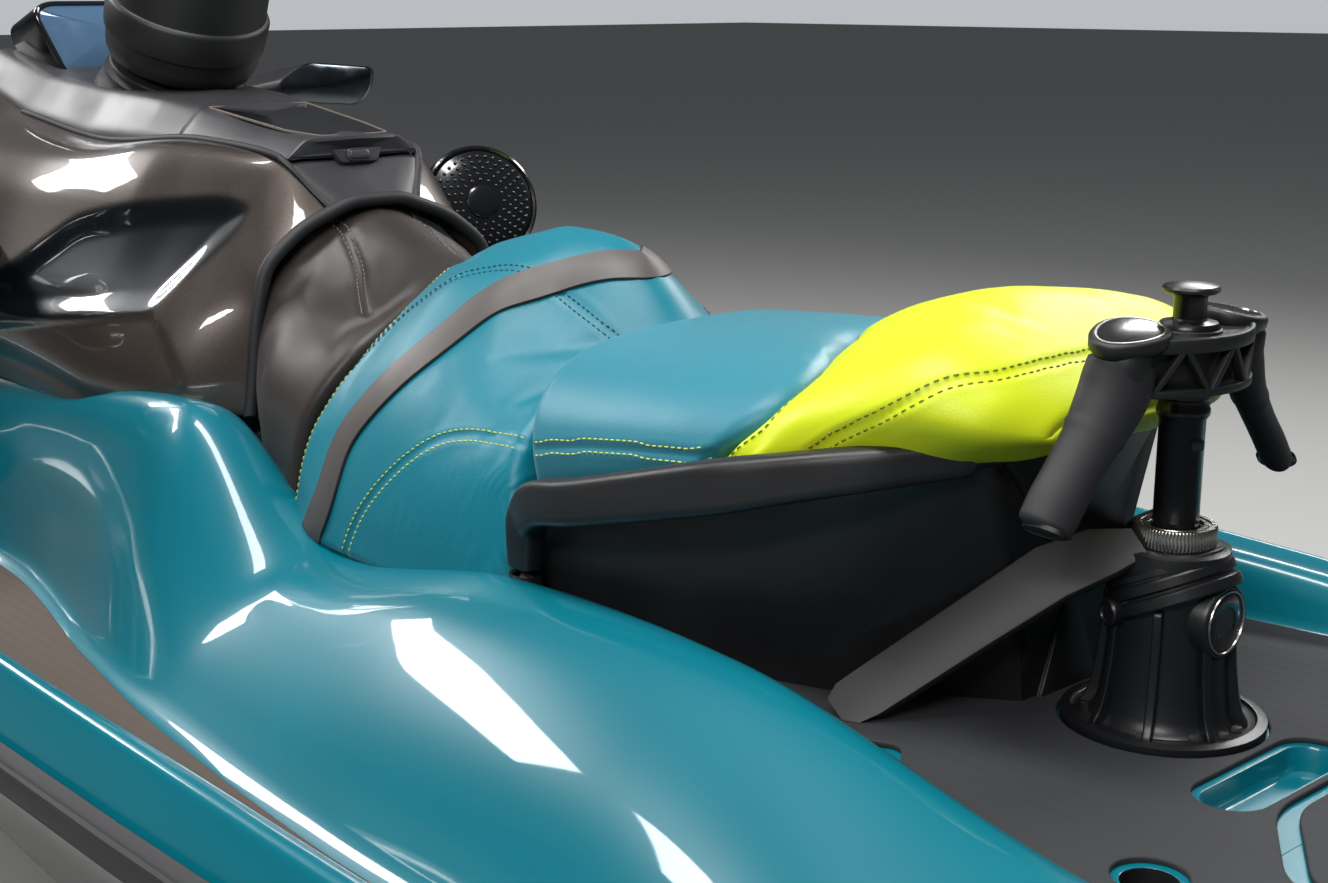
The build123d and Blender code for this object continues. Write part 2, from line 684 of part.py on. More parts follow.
SPEAKER_AT = (112, 342, 478)
SPEAKER_R = 75.0
SPEAKER_DEEP = 60.0
SPEAKER_FACES = (-0.90, -0.30, 0.30)


def make_speakers(panel):
    """Round speakers that face the rider, each on a pod that narrows towards its panel."""
    face = Plane(origin=SPEAKER_AT, z_dir=SPEAKER_FACES)
    rim = face * Circle(SPEAKER_R)
    back = face.offset(-SPEAKER_DEEP) * Circle(SPEAKER_R)
    root = face.offset(-SPEAKER_DEEP * 3) * Circle(SPEAKER_R * 0.55)
    port = loft([rim, back, root], ruled=True) - panel
    return port + starboard_of(port)


def make_platform_mat(shroud, recesses):
    rows = []
    for row, top in list(zip(HULL, DECK))[:4]:
        y, z = top[1]
        rows.append((row[0], [(0, z), (y - 4, z), (y - 6, z + MAT_THICK), (0, z + MAT_THICK)]))
    shape = across(rows) - shroud - recesses
    shape -= Pos(PYLON_X, 0, PLATFORM_Z) * Cylinder(PYLON_DISC_R + 1, 60)
    return shape


def make_well_mats():
    rows = []
    for row, top in list(zip(HULL, DECK))[2:8]:
        (y0, z0), (y1, z1) = top[5], top[6]
        a, b = y0 + WELL_MAT_EDGE * (y1 - y0), y1 - WELL_MAT_EDGE * (y1 - y0)
        za, zb = z0 + WELL_MAT_EDGE * (z1 - z0), z1 - WELL_MAT_EDGE * (z1 - z0)
        rows.append((row[0], [(a, za), (b, zb), (b, zb + WELL_MAT_THICK), (a, za + WELL_MAT_THICK)]))
    port = port_side(rows)
    return port + starboard_of(port)


# Recesses in the platform
ANCHOR_X = -1358.0
ANCHOR_Y = 231.0
ANCHOR_R = 19.0
ANCHOR_DEEP = 26.0
SLOT_X = -1327.0
SLOT_Y = 32.0
SLOT_LONG = 150.0
SLOT_WIDE = 42.0
SLOT_DEEP = 26.0
ANCHOR_RIM = 6.0


def make_recesses(anchor_r):
    """The hand slot and the two anchor bores, as the space that they take."""
    slot = SlotOverall(SLOT_LONG, SLOT_WIDE, rotation=90)
    shape = Pos(SLOT_X, SLOT_Y, PLATFORM_Z) * extrude(slot, SLOT_DEEP, both=True)
    floor_z = PLATFORM_Z - MAT_THICK - ANCHOR_DEEP
    for side in (1, -1):
        shape += Pos(ANCHOR_X, side * ANCHOR_Y, floor_z) * Cylinder(
            anchor_r, ANCHOR_DEEP * 2, align=(Align.CENTER, Align.CENTER, Align.MIN))
    return shape


def turned(profile, x_axis_z):
    """A body of revolution about a fore-and-aft line, from (x, radius) pairs."""
    face = make_face(Polyline(*[(x, 0, r) for x, r in profile], close=True))
    return Pos(0, 0, x_axis_z) * revolve(face, Axis.X, 360)


def make_pump():
    front, straight = PUMP_FRONT_X, PUMP_FRONT_X - PUMP_STRAIGHT
    rear = PUMP_FRONT_X - PUMP_LONG
    tail = rear + PUMP_TAIL
    outer_r = PUMP_BORE_R + PUMP_WALL
    shape = turned([
        (front, PUMP_BORE_R), (front, PUMP_FLANGE_R), (front - PUMP_FLANGE, PUMP_FLANGE_R),
        (front - PUMP_FLANGE, outer_r), (straight, outer_r), (tail, VENTURI_R + TAIL_WALL + 4),
        (tail, VENTURI_R + TAIL_WALL), (rear, VENTURI_R + TAIL_WALL), (rear, VENTURI_R),
        (tail, VENTURI_R), (straight, PUMP_BORE_R)], PUMP_Z)
    hub_front = front - 30 - IMPELLER_LONG - 10
    hub = turned([(hub_front, 0), (hub_front, STATOR_HUB_R), (straight, STATOR_HUB_R - 4), (tail, 0)], PUMP_Z)
    vane = block(straight + 4, hub_front - 6, -VANE_THICK / 2, VANE_THICK / 2, STATOR_HUB_R - 6, PUMP_BORE_R + 4)
    for i in range(STATOR_VANES):
        hub += Pos(0, 0, PUMP_Z) * Rot(360 / STATOR_VANES * i, 0, 0) * vane
    shape += hub
    ear_x = rear - 5
    for side in (1, -1):
        top = PUMP_Z + side * (NOZZLE_MOUTH_R + NOZZLE_WALL + 5)
        far = top + side * NOZZLE_EAR
        low, high = min(top, far), max(top, far)
        shape += block(ear_x - 16, tail + 20, -14, 14, low, high)
        root = PUMP_Z + side * (VENTURI_R + TAIL_WALL + 6)
        shape += block(tail + 2, tail + 20, -14, 14, min(root, far), max(root, far))
        shape += rod((ear_x, 0, top), (ear_x, 0, PUMP_Z + side * (NOZZLE_MOUTH_R - 8)), NOZZLE_PIN_R)
        shape += rod((BUCKET_PIVOT_X, side * 60, PUMP_Z), (BUCKET_PIVOT_X, side * (BUCKET_ARM_Y + BUCKET_ARM), PUMP_Z),
                     BUCKET_PIN_R)
    return shape


def nozzle_x():
    return PUMP_FRONT_X - PUMP_LONG - 5


def make_nozzle():
    x = nozzle_x()
    mouth, end = x + NOZZLE_LEAD, x - NOZZLE_LONG
    shape = turned([
        (mouth, NOZZLE_MOUTH_R), (mouth, NOZZLE_MOUTH_R + NOZZLE_WALL),
        (x - 12, NOZZLE_MOUTH_R + NOZZLE_WALL - 2), (end, NOZZLE_EXIT_R + NOZZLE_WALL), (end, NOZZLE_EXIT_R),
        (x - 12, NOZZLE_MOUTH_R - 2)], PUMP_Z)
    reach = NOZZLE_MOUTH_R + 20
    shape -= rod((x, 0, PUMP_Z - reach), (x, 0, PUMP_Z + reach), NOZZLE_PIN_R + PIN_FIT)
    return shape


def make_bucket():
    """The reverse bucket, swung up clear of the nozzle, on two arms beside it."""
    outer = BUCKET_R + BUCKET_THICK
    inside, outside = BUCKET_ARM_Y, BUCKET_ARM_Y + BUCKET_ARM

    def at(radius, degrees):
        return (BUCKET_PIVOT_X - radius * cos(radians(degrees)), 0, PUMP_Z + radius * sin(radians(degrees)))

    middle = (BUCKET_LOW_DEG + BUCKET_HIGH_DEG) / 2
    ends = [at(BUCKET_R, BUCKET_LOW_DEG), at(outer, BUCKET_LOW_DEG), at(outer, BUCKET_HIGH_DEG),
            at(BUCKET_R, BUCKET_HIGH_DEG)]
    arc = (Line(ends[0], ends[1]) + ThreePointArc(ends[1], at(outer, middle), ends[2])
           + Line(ends[2], ends[3]) + ThreePointArc(ends[3], at(BUCKET_R, middle), ends[0]))
    shape = extrude(make_face(arc), outside, both=True)
    arm = make_face(Polyline(at(30, BUCKET_LOW_DEG - 60), at(outer, BUCKET_LOW_DEG), at(outer * 0.97, middle),
                             at(outer, BUCKET_HIGH_DEG), at(30, BUCKET_HIGH_DEG + 60), close=True))
    arm = extrude(arm, outside, both=True) - block(-3000, 0, -inside, inside, -900, 900)
    eye = rod((BUCKET_PIVOT_X, -outside, PUMP_Z), (BUCKET_PIVOT_X, outside, PUMP_Z), 26)
    eye -= block(-3000, 0, -inside, inside, -900, 900)
    shape = shape + arm + eye
    return shape - rod((BUCKET_PIVOT_X, -outside - 1, PUMP_Z), (BUCKET_PIVOT_X, outside + 1, PUMP_Z),
                       BUCKET_PIN_R + PIN_FIT)


def make_impeller():
    """The impeller on its drive shaft, with twisted blades."""
    front = PUMP_FRONT_X - 30
    rear = front - IMPELLER_LONG
    shape = turned([(front, 0), (front, IMPELLER_HUB_R - 10), (rear, IMPELLER_HUB_R), (rear, 0)], PUMP_Z)
    shape += rod((front - 10, 0, PUMP_Z), (ENGINE_REAR_X - SEAT_GAP, 0, PUMP_Z), SHAFT_R)
    middle = (front + rear) / 2
    root, tip = [
        Plane(origin=(middle, 0, radius), x_dir=(cos(radians(pitch)), sin(radians(pitch)), 0), z_dir=(0, 0, 1))
        * Rectangle(wide, BLADE_THICK)
        for radius, pitch, wide in ((IMPELLER_HUB_R - 8, 30, 56), (IMPELLER_R, 52, 92))]
    blade = loft([root, tip], ruled=True)
    blade &= turned([(front, 0), (front, IMPELLER_R), (rear, IMPELLER_R), (rear, 0)], 0)
    for i in range(IMPELLER_BLADES):
        shape += Pos(0, 0, PUMP_Z) * Rot(360 / IMPELLER_BLADES * i, 0, 0) * blade
    return shape


KEEL_SLOPE = 0.36


def make_ride_plate():
    half = TUNNEL_HALF - 2
    low = KEEL_Z + 3
    side = outline(PUMP_FRONT_X, [(0, low), (half, low + KEEL_SLOPE * half),
                                  (half, low + KEEL_SLOPE * half + PLATE_THICK), (0, low + PLATE_THICK)])
    return extrude(side, amount=PLATE_LONG, dir=(-1, 0, 0))


def make_grate(hull):
    """Bars along the intake's mouth, following the hull's V, and a bar across each end."""
    rear, front = PUMP_FRONT_X, INTAKE_FRONT_X + 10
    shape = None
    for y in (-60, -30, 0, 30, 60):
        z = KEEL_Z + KEEL_SLOPE * abs(y) + 3
        bar = block(rear, front, y - 4, y + 4, z, z + 16)
        shape = bar if shape is None else shape + bar
    for x in (rear, front - 60):
        half = INTAKE_HALF
        low = KEEL_Z + 4
        side = outline(x, [(0, low), (half, low + KEEL_SLOPE * half), (half, low + KEEL_SLOPE * half + 14), (0, low + 14)])
        shape += extrude(side, amount=16, dir=(1, 0, 0))
    return shape - hull


def make_sponsons(hull):
    rows = []
    for x, out in ((SPONSON_REAR_X, 0.35), (SPONSON_REAR_X + 90, 1.0), (SPONSON_REAR_X + SPONSON_LONG - 160, 1.0),
                   (SPONSON_REAR_X + SPONSON_LONG, 0.2)):
        rows.append((x, [(470, -100), (505 + SPONSON_OUT * out, -104), (520 + SPONSON_OUT * out, -70),
                         (545 + SPONSON_OUT * 0.5 * out, -10), (530, 12), (480, 0)]))
    port = port_side(rows) - hull
    return port + starboard_of(port)


# Towing and tie-down eyes
BOW_EYE_BACK = 97.5
BOW_EYE_Z = 66.0
BOW_EYE_R = 11.0
BOW_EYE = 14.0
STERN_EYE_Y = 480.0
STERN_EYE_Z = 40.0
STERN_EYE_R = 7.0
STERN_EYE = 10.0


def make_tow_eyes(hull):
    x, z = BOW_X - BOW_EYE_BACK, BOW_EYE_Z
    turn = Rot(90, 0, 0)
    bow = Pos(x, 0, z) * turn * Cylinder(BOW_EYE_R + 13, BOW_EYE)
    bow += Pos(x - 22, 0, z + 18) * Rot(0, 38, 0) * Box(30, BOW_EYE, 30)
    shape = bow - Pos(x, 0, z) * turn * Cylinder(BOW_EYE_R, 2 * BOW_EYE) - hull
    transom = HULL[0][0]
    for side in (1, -1):
        at = Pos(transom - 11, side * STERN_EYE_Y, STERN_EYE_Z) * turn
        eye = at * Cylinder(2 * STERN_EYE_R, STERN_EYE)
        eye += Pos(transom - 5.5, side * STERN_EYE_Y, STERN_EYE_Z) * Box(11, STERN_EYE, 28)
        shape += eye - at * Cylinder(STERN_EYE_R, 2 * STERN_EYE) - hull
    return shape


STEP_Y = 330.0
STEP_HALF = 100.0
STEP_ROD_R = 8.0
STEP_PIVOT_Z = -50.0
STEP_LONG = 160.0


def step_x():
    return HULL[0][0] - CLEAR - STEP_ROD_R


def make_step():
    x = step_x()
    low, high = STEP_PIVOT_Z, STEP_PIVOT_Z + STEP_LONG
    y0, y1 = STEP_Y - STEP_HALF, STEP_Y + STEP_HALF
    shape = rod((x, y0 - 24, low), (x, y1 + 24, low), STEP_ROD_R)
    for y in (y0, y1):
        shape += rod((x, y, low), (x, y, high), STEP_ROD_R)
        shape += Pos(x, y, high) * Sphere(STEP_ROD_R)
    shape += rod((x, y0, high), (x, y1, high), STEP_ROD_R)
    return shape


def make_brackets():
    x = step_x()
    shape = None
    for y in (STEP_Y - STEP_HALF - 17, STEP_Y + STEP_HALF + 17):
        piece = block(x - 11, HULL[0][0], y - 6, y + 6, STEP_PIVOT_Z - 14, STEP_PIVOT_Z + 14)
        piece -= rod((x, y - 10, STEP_PIVOT_Z), (x, y + 10, STEP_PIVOT_Z), STEP_ROD_R + PIN_FIT)
        shape = piece if shape is None else shape + piece
    return shape


def make_pylon_base():
    ring_low = PYLON_RING_TOP - PYLON_RING
    seat_z = PLATFORM_Z - MAT_THICK
    shape = Pos(PYLON_X, 0, seat_z) * Cylinder(PYLON_DISC_R, MAT_THICK + PYLON_DISC,
                                               align=(Align.CENTER, Align.CENTER, Align.MIN))
    cone = make_face(Polyline((0, 0, seat_z), (54, 0, seat_z), (54, 0, PLATFORM_Z + 20), (42, 0, ring_low - 34),
                              (42, 0, ring_low), (0, 0, ring_low), close=True))
    shape += Pos(PYLON_X, 0, 0) * revolve(cone, Axis.Z, 360)
    rib = extrude(make_face(Polyline((30, 0, PLATFORM_Z), (70, 0, PLATFORM_Z), (64, 0, PLATFORM_Z + 20),
                                     (48, 0, ring_low - 40), (30, 0, ring_low - 40), close=True)), 4, both=True)
    for i in range(8):
        shape += Pos(PYLON_X, 0, 0) * Rot(0, 0, 22.5 + 45 * i) * rib
    for z, r in ((ring_low - 32, 50), (ring_low - 14, 47)):
        shape += Pos(PYLON_X, 0, z) * Rot(0, -12, 0) * Cylinder(r, 10)
    shape += Pos(PYLON_X - 46, 0, PLATFORM_Z + 74) * Rot(0, 90, 0) * Cylinder(27, 24)
    shape -= Pos(PYLON_X, 0, seat_z) * Cylinder(POST_R + PIN_FIT, 600)
    return shape


def make_pylon_ring():
    low = PYLON_RING_TOP - PYLON_RING
    ring = Cylinder(PYLON_RING_R, PYLON_RING, align=(Align.CENTER, Align.CENTER, Align.MIN))
    hole = Cylinder(POST_R + PIN_FIT, PYLON_RING * 3)
    return Pos(PYLON_X, 0, low) * (ring - hole)


def make_struts(base, ring, shroud):
    """Two flat struts from the top of the base, forward and down to the platform."""
    rows = []
    for x, y, z, wide in ((-1190, 26, 352, 30), (-1160, 56, 342, STRUT_WIDE), (-1050, 178, PLATFORM_Z - 4, STRUT_WIDE)):
        plane = Plane(origin=(x, y, z), x_dir=(0.74, -0.67, 0), z_dir=(0.55, 0.61, -0.57))
        rows.append(plane * Rectangle(wide, STRUT_THICK))
    port = loft(rows, ruled=True)
    port -= block(-1400, -900, 0, 400, PLATFORM_Z - 60, PLATFORM_Z)
    port = port - base - ring - shroud
    return port + starboard_of(port)


def make_post():
    profile = [(0, POST_FOOT_Z), (POST_R, POST_FOOT_Z), (POST_R, COLLAR_Z - 8), (POST_R + 4, COLLAR_Z),
               (POST_R + 4, HEAD_LOW_Z), (SPOOL_NECK_R, HEAD_LOW_Z), (SPOOL_NECK_R, HEAD_TOP_Z),
               (SPOOL_R + 2, HEAD_TOP_Z), (SPOOL_R + 2, HEAD_TOP_Z + 5), (SPOOL_NECK_R, HEAD_TOP_Z + 7),
               (SPOOL_NECK_R, SPOOL_TOP_Z - 9), (SPOOL_R, SPOOL_TOP_Z - 7), (SPOOL_R, SPOOL_TOP_Z - 3),
               (SPOOL_R - 8, SPOOL_TOP_Z), (0, SPOOL_TOP_Z)]
    face = make_face(Polyline(*[(r, 0, z) for r, z in profile], close=True))
    return Pos(PYLON_X, 0, 0) * revolve(face, Axis.Z, 360)


HEAD_HALF = 95.0
HEAD_BACK = 44.0
HEAD_FORE = 18.0
HEAD_WALL = 6.0
TRUSS_BAYS = 8


def head_plan(inset):
    """The head's outline seen from above: bowed behind the post and straight ahead of it."""
    half, back, fore = HEAD_HALF - inset, HEAD_BACK - inset, HEAD_FORE - inset
    bow = ThreePointArc((fore, half, 0), (-back, 0, 0), (fore, -half, 0))
    return make_face(bow + Line((fore, -half, 0), (fore, half, 0)))


def make_head(post):
    low, top = HEAD_LOW_Z, HEAD_TOP_Z
    plate = extrude(head_plan(0), 7)
    wall = extrude(head_plan(0), top - low) - extrude(head_plan(HEAD_WALL), top - low)
    wall -= block(HEAD_FORE - HEAD_WALL - 1, HEAD_FORE + 1, -HEAD_HALF + 24, HEAD_HALF - 24, 5, top - low - 7)
    reach = HEAD_BACK + 40
    step = 2 * (HEAD_HALF - 14) / TRUSS_BAYS
    for i in range(TRUSS_BAYS):
        y = -HEAD_HALF + 14 + step * (i + 0.5)
        base, tip = (7, top - low - 9) if i % 2 else (top - low - 9, 7)
        hole = make_face(Polyline((0, y - step * 0.62, base), (0, y + step * 0.62, base), (0, y, tip), close=True))
        wall -= Pos(-reach, 0, 0) * extrude(hole, amount=reach - 8, dir=(1, 0, 0))
    shape = Pos(0, 0, top - low - 7) * plate + wall
    shape += Cylinder(POST_R + 8, top - low, align=(Align.CENTER, Align.CENTER, Align.MIN))
    for side in (1, -1):
        shape += Pos(2, side * (HEAD_HALF - 8), 0) * Cylinder(GRIP_R, top - low, align=(
            Align.CENTER, Align.CENTER, Align.MIN))
        pad = Plane(origin=(6, side * (HEAD_HALF - 22), top - low + 6), z_dir=(-0.15, side * 0.28, 0.95))
        shape += extrude(pad * Ellipse(30, 36), -10)
    return Pos(PYLON_X, 0, low) * shape - post


def make_mast_grips(head):
    port = rod((PYLON_X + 2, HEAD_HALF - 10, HEAD_LOW_Z + 8), (PYLON_X + 8, 146, 412), GRIP_R)
    port += Pos(PYLON_X + 8, 146, 412) * Sphere(GRIP_R)
    port = (port - head).solids().sort_by(SortBy.VOLUME)[-1]
    return port + starboard_of(port)


def build():
    """Every piece of the craft, by name."""
    hull = make_hull()
    deck = make_deck() - make_recesses(ANCHOR_R)
    bow_deck = make_bow_deck()
    shroud = make_shroud(deck)
    knee, driver = make_driver_seats(deck, shroud)
    passenger = across(PASSENGER) - shroud - deck
    bolster = across(BOLSTER) - shroud - deck
    panel = make_side_panel(deck, knee, driver)
    console = make_console(deck, knee)
    handlebar = make_handlebar()
    hood = make_hood(bow_deck, deck)
    base, ring = make_pylon_base(), make_pylon_ring()
    post = make_post()
    head = make_head(post)
    return {
        "hull": hull, "deck": deck, "footwells": make_footwells(), "bow_deck": bow_deck,
        "rub_rail": make_rub_rail(), "engine": make_engine(),
        "ride_plate": make_ride_plate(), "intake_grate": make_grate(hull), "sponsons": make_sponsons(hull),
        "pump_housing": make_pump(), "tow_eyes": make_tow_eyes(hull), "step_brackets": make_brackets(),
        "footwell_mats": make_well_mats(),
        "platform_mat": make_platform_mat(shroud, make_recesses(ANCHOR_R + ANCHOR_RIM)),
        "side_panels": panel + starboard_of(panel), "console": console,
        "gauge": make_gauge(console), "storage_bin": make_bin(), "speakers": make_speakers(panel),
        "seat_shroud": shroud, "grab_rails": make_grab_rails(shroud, bolster, passenger, driver),
        "knee_pad": knee, "driver_seat": driver, "passenger_seat": passenger, "seat_bolster": bolster,
        "seat_strap": make_strap(driver + knee, deck),
        "pylon_base": base, "pylon_struts": make_struts(base, ring, shroud), "pylon_ring": ring,
        "steering_boot": make_boot(console), "handlebar": handlebar, "steering_pad": make_pad(handlebar),
        "grips": make_grips(), "levers": make_levers(handlebar), "nozzle": make_nozzle(),
        "reverse_bucket": make_bucket(), "impeller": make_impeller(), "glovebox_lid": make_glovebox_lid(),
        "storage_lid": hood, "mirrors": make_mirrors(hood), "mirror_glass": make_mirror_glass(),
        "pylon_post": post, "pylon_head": head, "pylon_grips": make_mast_grips(head), "boarding_step": make_step(),
    }


if __name__ == "__main__":
    os.makedirs("parts", exist_ok=True)
    for name, piece in build().items():
        export_step(piece, f"parts/{name}.step")
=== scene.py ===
# %% [markdown]
# # A three-seat tow watercraft
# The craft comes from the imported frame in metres: +X is forward, +Y is port, +Z is up, and z = 0 is
# the water. The real craft is a moulded deck bonded to a moulded hull, with padded vinyl seats, satin
# and gloss mouldings and a coated alloy tow pylon. The frame already holds every piece at its place.
# This lesson gives each one its finish, and builds smooth skins where the frame only has flat facets.

# %% Start from the frame
import bmesh
import bpy
import math
import numpy as np
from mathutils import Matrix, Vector
from mathutils.bvhtree import BVHTree


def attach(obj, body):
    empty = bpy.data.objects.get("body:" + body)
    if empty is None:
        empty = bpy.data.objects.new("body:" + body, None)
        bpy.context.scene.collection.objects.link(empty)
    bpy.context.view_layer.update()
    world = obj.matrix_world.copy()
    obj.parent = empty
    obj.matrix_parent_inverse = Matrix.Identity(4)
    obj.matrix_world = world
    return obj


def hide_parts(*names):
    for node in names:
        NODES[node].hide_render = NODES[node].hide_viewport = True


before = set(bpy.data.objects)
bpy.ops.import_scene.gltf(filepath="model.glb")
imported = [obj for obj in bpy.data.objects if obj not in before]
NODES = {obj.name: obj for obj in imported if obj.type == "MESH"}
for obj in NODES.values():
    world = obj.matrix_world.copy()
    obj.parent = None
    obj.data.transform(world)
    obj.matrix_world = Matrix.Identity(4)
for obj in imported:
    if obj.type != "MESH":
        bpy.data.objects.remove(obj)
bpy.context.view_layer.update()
MM = 0.001
print("nodes:", len(NODES))

# %% [markdown]
# ## The camera
# A photograph is matched before anything is modelled, because every later choice is judged through
# the lens. The craft is seen from its port quarter, a little above the seat. The camera could be
# aimed with a constraint, but a direction worked out from two angles is plain and exact.

# %% Camera at the port quarter
CAMERA_AT = (-1.9432, 1.1699, 0.7621)
LOOK_ASIDE_DEG = 42.0
LOOK_DOWN_DEG = 13.8
FOCAL_MM = 50.0
SENSOR_MM = 36.0
IMAGE_WIDE, IMAGE_HIGH = 1328, 883


def look_direction(aside_deg, down_deg):
    """The view direction: turned from +X towards starboard, then tipped down."""
    aside, down = math.radians(aside_deg), math.radians(down_deg)
    return Vector((math.cos(aside) * math.cos(down), -math.sin(aside) * math.cos(down), -math.sin(down)))


def linked(name, data):
    """An object of the scene that holds the data."""
    made = bpy.data.objects.new(name, data)
    bpy.context.scene.collection.objects.link(made)
    return made


def make_camera():
    data = bpy.data.cameras.new("camera")
    data.lens = FOCAL_MM
    data.sensor_width = SENSOR_MM
    data.clip_end = 60.0
    camera = linked("camera", data)
    camera.location = CAMERA_AT
    facing = look_direction(LOOK_ASIDE_DEG, LOOK_DOWN_DEG)
    camera.rotation_euler = facing.to_track_quat("-Z", "Y").to_euler()
    bpy.context.scene.camera = camera


make_camera()
print("camera: %.0f mm lens for an image of %d x %d" % (FOCAL_MM, IMAGE_WIDE, IMAGE_HIGH))

# %% [markdown]
# ## Light and floor
# The studio is plain: a grey floor under the keel, a dim sky for fill, and strip lamps above and
# beside the craft. Gloss gelcoat shows its shape only by what it reflects, so that sky is dark at the
# horizon and paler above. Light Path nodes show a bright background to the camera, and through clear
# parts, and leave the light on the craft to the dim one.

# %% Colour and node helpers
def colour(hex_code):
    """An sRGB hex colour as linear RGBA: below 0.04045 divided by 12.92, else the 2.4 power curve."""
    parts = [int(hex_code[i:i + 2], 16) / 255 for i in (1, 3, 5)]
    return (*[c / 12.92 if c <= 0.04045 else ((c + 0.055) / 1.055) ** 2.4 for c in parts], 1.0)


def add(tree, kind, links=None, **settings):
    """Adds one node. A setting names an input's default or a property; links map inputs to outputs."""
    node = tree.nodes.new(kind)
    for name, value in settings.items():
        if hasattr(node, name):
            setattr(node, name, value)
        else:
            node.inputs[name.replace("_", " ")].default_value = value
    for name, source in (links or {}).items():
        tree.links.new(source, node.inputs[name])
    return node


# %% Sky, lamps and floor
SKY_FILL = 0.2
SKY_SEEN = 0.92


def sky(tree, height, low_hex, high_hex, strength):
    """A background from one colour at the horizon to another one high up."""
    ramp = add(tree, "ShaderNodeValToRGB", {"Fac": height})
    for stop, hex_code in zip(ramp.color_ramp.elements, (low_hex, high_hex)):
        stop.color = colour(hex_code)
    return add(tree, "ShaderNodeBackground", {"Color": ramp.outputs["Color"]}, Strength=strength).outputs[0]


def make_world():
    world = bpy.data.worlds.new("studio")
    bpy.context.scene.world = world
    world.use_nodes = True
    tree = world.node_tree
    tree.nodes.clear()
    place = add(tree, "ShaderNodeTexCoord")
    split = add(tree, "ShaderNodeSeparateXYZ", {0: place.outputs["Generated"]})
    height = add(tree, "ShaderNodeMapRange", {"Value": split.outputs["Z"]}, From_Min=-0.1, From_Max=0.8,
                 To_Min=0.0, To_Max=1.0).outputs[0]
    path = add(tree, "ShaderNodeLightPath")
    shown = add(tree, "ShaderNodeMath", {0: path.outputs["Is Camera Ray"],
                                         1: path.outputs["Is Transmission Ray"]}, operation="MAXIMUM")
    mix = add(tree, "ShaderNodeMixShader", {0: shown.outputs[0],
                                            1: sky(tree, height, "#2E3136", "#E8ECF4", SKY_FILL),
                                            2: sky(tree, height, "#B9BDC2", "#FFFFFF", SKY_SEEN)})
    add(tree, "ShaderNodeOutputWorld", {"Surface": mix.outputs[0]})


# name, place, aimed at, size across and along, watts
LAMPS = [
    ("lamp_over", (-0.6, 0.6, 3.4), (-0.5, 0.0, 0.3), 3.4, 0.6, 150),
    ("lamp_port", (-2.2, 3.2, 2.6), (-0.4, 0.2, 0.2), 2.4, 0.4, 100),
    ("lamp_bow", (3.4, 1.2, 2.4), (0.6, 0.0, 0.2), 2.2, 0.5, 84),
    ("lamp_starboard", (-0.4, -3.2, 2.4), (-0.6, 0.0, 0.3), 2.6, 0.5, 90),
]


def make_lamps():
    for name, place, target, wide, tall, watts in LAMPS:
        data = bpy.data.lights.new(name, "AREA")
        data.shape = "RECTANGLE"
        data.size, data.size_y, data.energy = wide, tall, watts
        lamp = linked(name, data)
        lamp.location = place
        lamp.rotation_euler = (Vector(target) - Vector(place)).to_track_quat("-Z", "Y").to_euler()


make_world()
make_lamps()
view = bpy.context.scene.view_settings
view.view_transform = "Standard"

# %% [markdown]
# ## Building surfaces
# A moulded body could be sculpted, or boxed out and subdivided. Here each form is a grid of points
# worked out with numpy: stations along the craft, joined by a smooth curve, with corners rounded by
# arcs. A mould maker draws a hull in the same way, and a grid stays exact when a size changes.

# %% Grids and stations
def through(xs, values, x):
    """A monotone cubic through values given at xs, read at x. Between two stations the curve is the
    cubic Hermite blend of both ends, with slopes that are the harmonic mean of the neighbouring ones."""
    xs, values = np.asarray(xs, float), np.asarray(values, float)
    x = np.clip(np.asarray(x, float), xs[0], xs[-1])
    shape = (-1,) + (1,) * (values.ndim - 1)
    gap = np.diff(xs).reshape(shape)
    rise = np.diff(values, axis=0) / gap
    same = rise[:-1] * rise[1:] > 0
    total = rise[:-1] + rise[1:]
    middle = np.where(same, 2 * rise[:-1] * rise[1:] / np.where(total == 0, 1, total), 0)
    slope = np.concatenate([rise[:1], middle, rise[-1:]])
    i = np.clip(np.searchsorted(xs, x, side="right") - 1, 0, len(xs) - 2)
    t = ((x - xs[i]) / (xs[i + 1] - xs[i])).reshape(shape)
    h = gap[i]
    a, b = values[i], values[i + 1]
    return (a * (1 + 2 * t) * (1 - t) ** 2 + slope[i] * h * t * (1 - t) ** 2
            + b * t ** 2 * (3 - 2 * t) + slope[i + 1] * h * t ** 2 * (t - 1))


def rounded(points, reach, steps=6, closed=False):
    """Rounds the corners of outlines, points (..., K, D). A corner becomes a quadratic curve that
    starts and ends reach from it, or half way along a shorter side."""
    points = np.asarray(points, float)
    count = points.shape[-2]
    reach = np.broadcast_to(np.asarray(reach, float), (count,))
    before = np.roll(points, 1, axis=-2)
    after = np.roll(points, -1, axis=-2)
    to_before, to_after = before - points, after - points
    len_before = np.linalg.norm(to_before, axis=-1, keepdims=True) + 1e-12
    len_after = np.linalg.norm(to_after, axis=-1, keepdims=True) + 1e-12
    start = points + to_before * np.minimum(0.5, reach[:, None] / len_before)
    end = points + to_after * np.minimum(0.5, reach[:, None] / len_after)
    if not closed:
        start[..., 0, :] = end[..., 0, :] = points[..., 0, :]
        start[..., -1, :] = end[..., -1, :] = points[..., -1, :]
    t = np.linspace(0, 1, steps)[:, None]
    curve = (start[..., None, :] * (1 - t) ** 2 + points[..., None, :] * 2 * t * (1 - t)
             + end[..., None, :] * t ** 2)
    flat = curve.reshape(*points.shape[:-2], count * steps, points.shape[-1])
    return flat if closed else flat[..., steps - 1:(count - 1) * steps + 1, :]


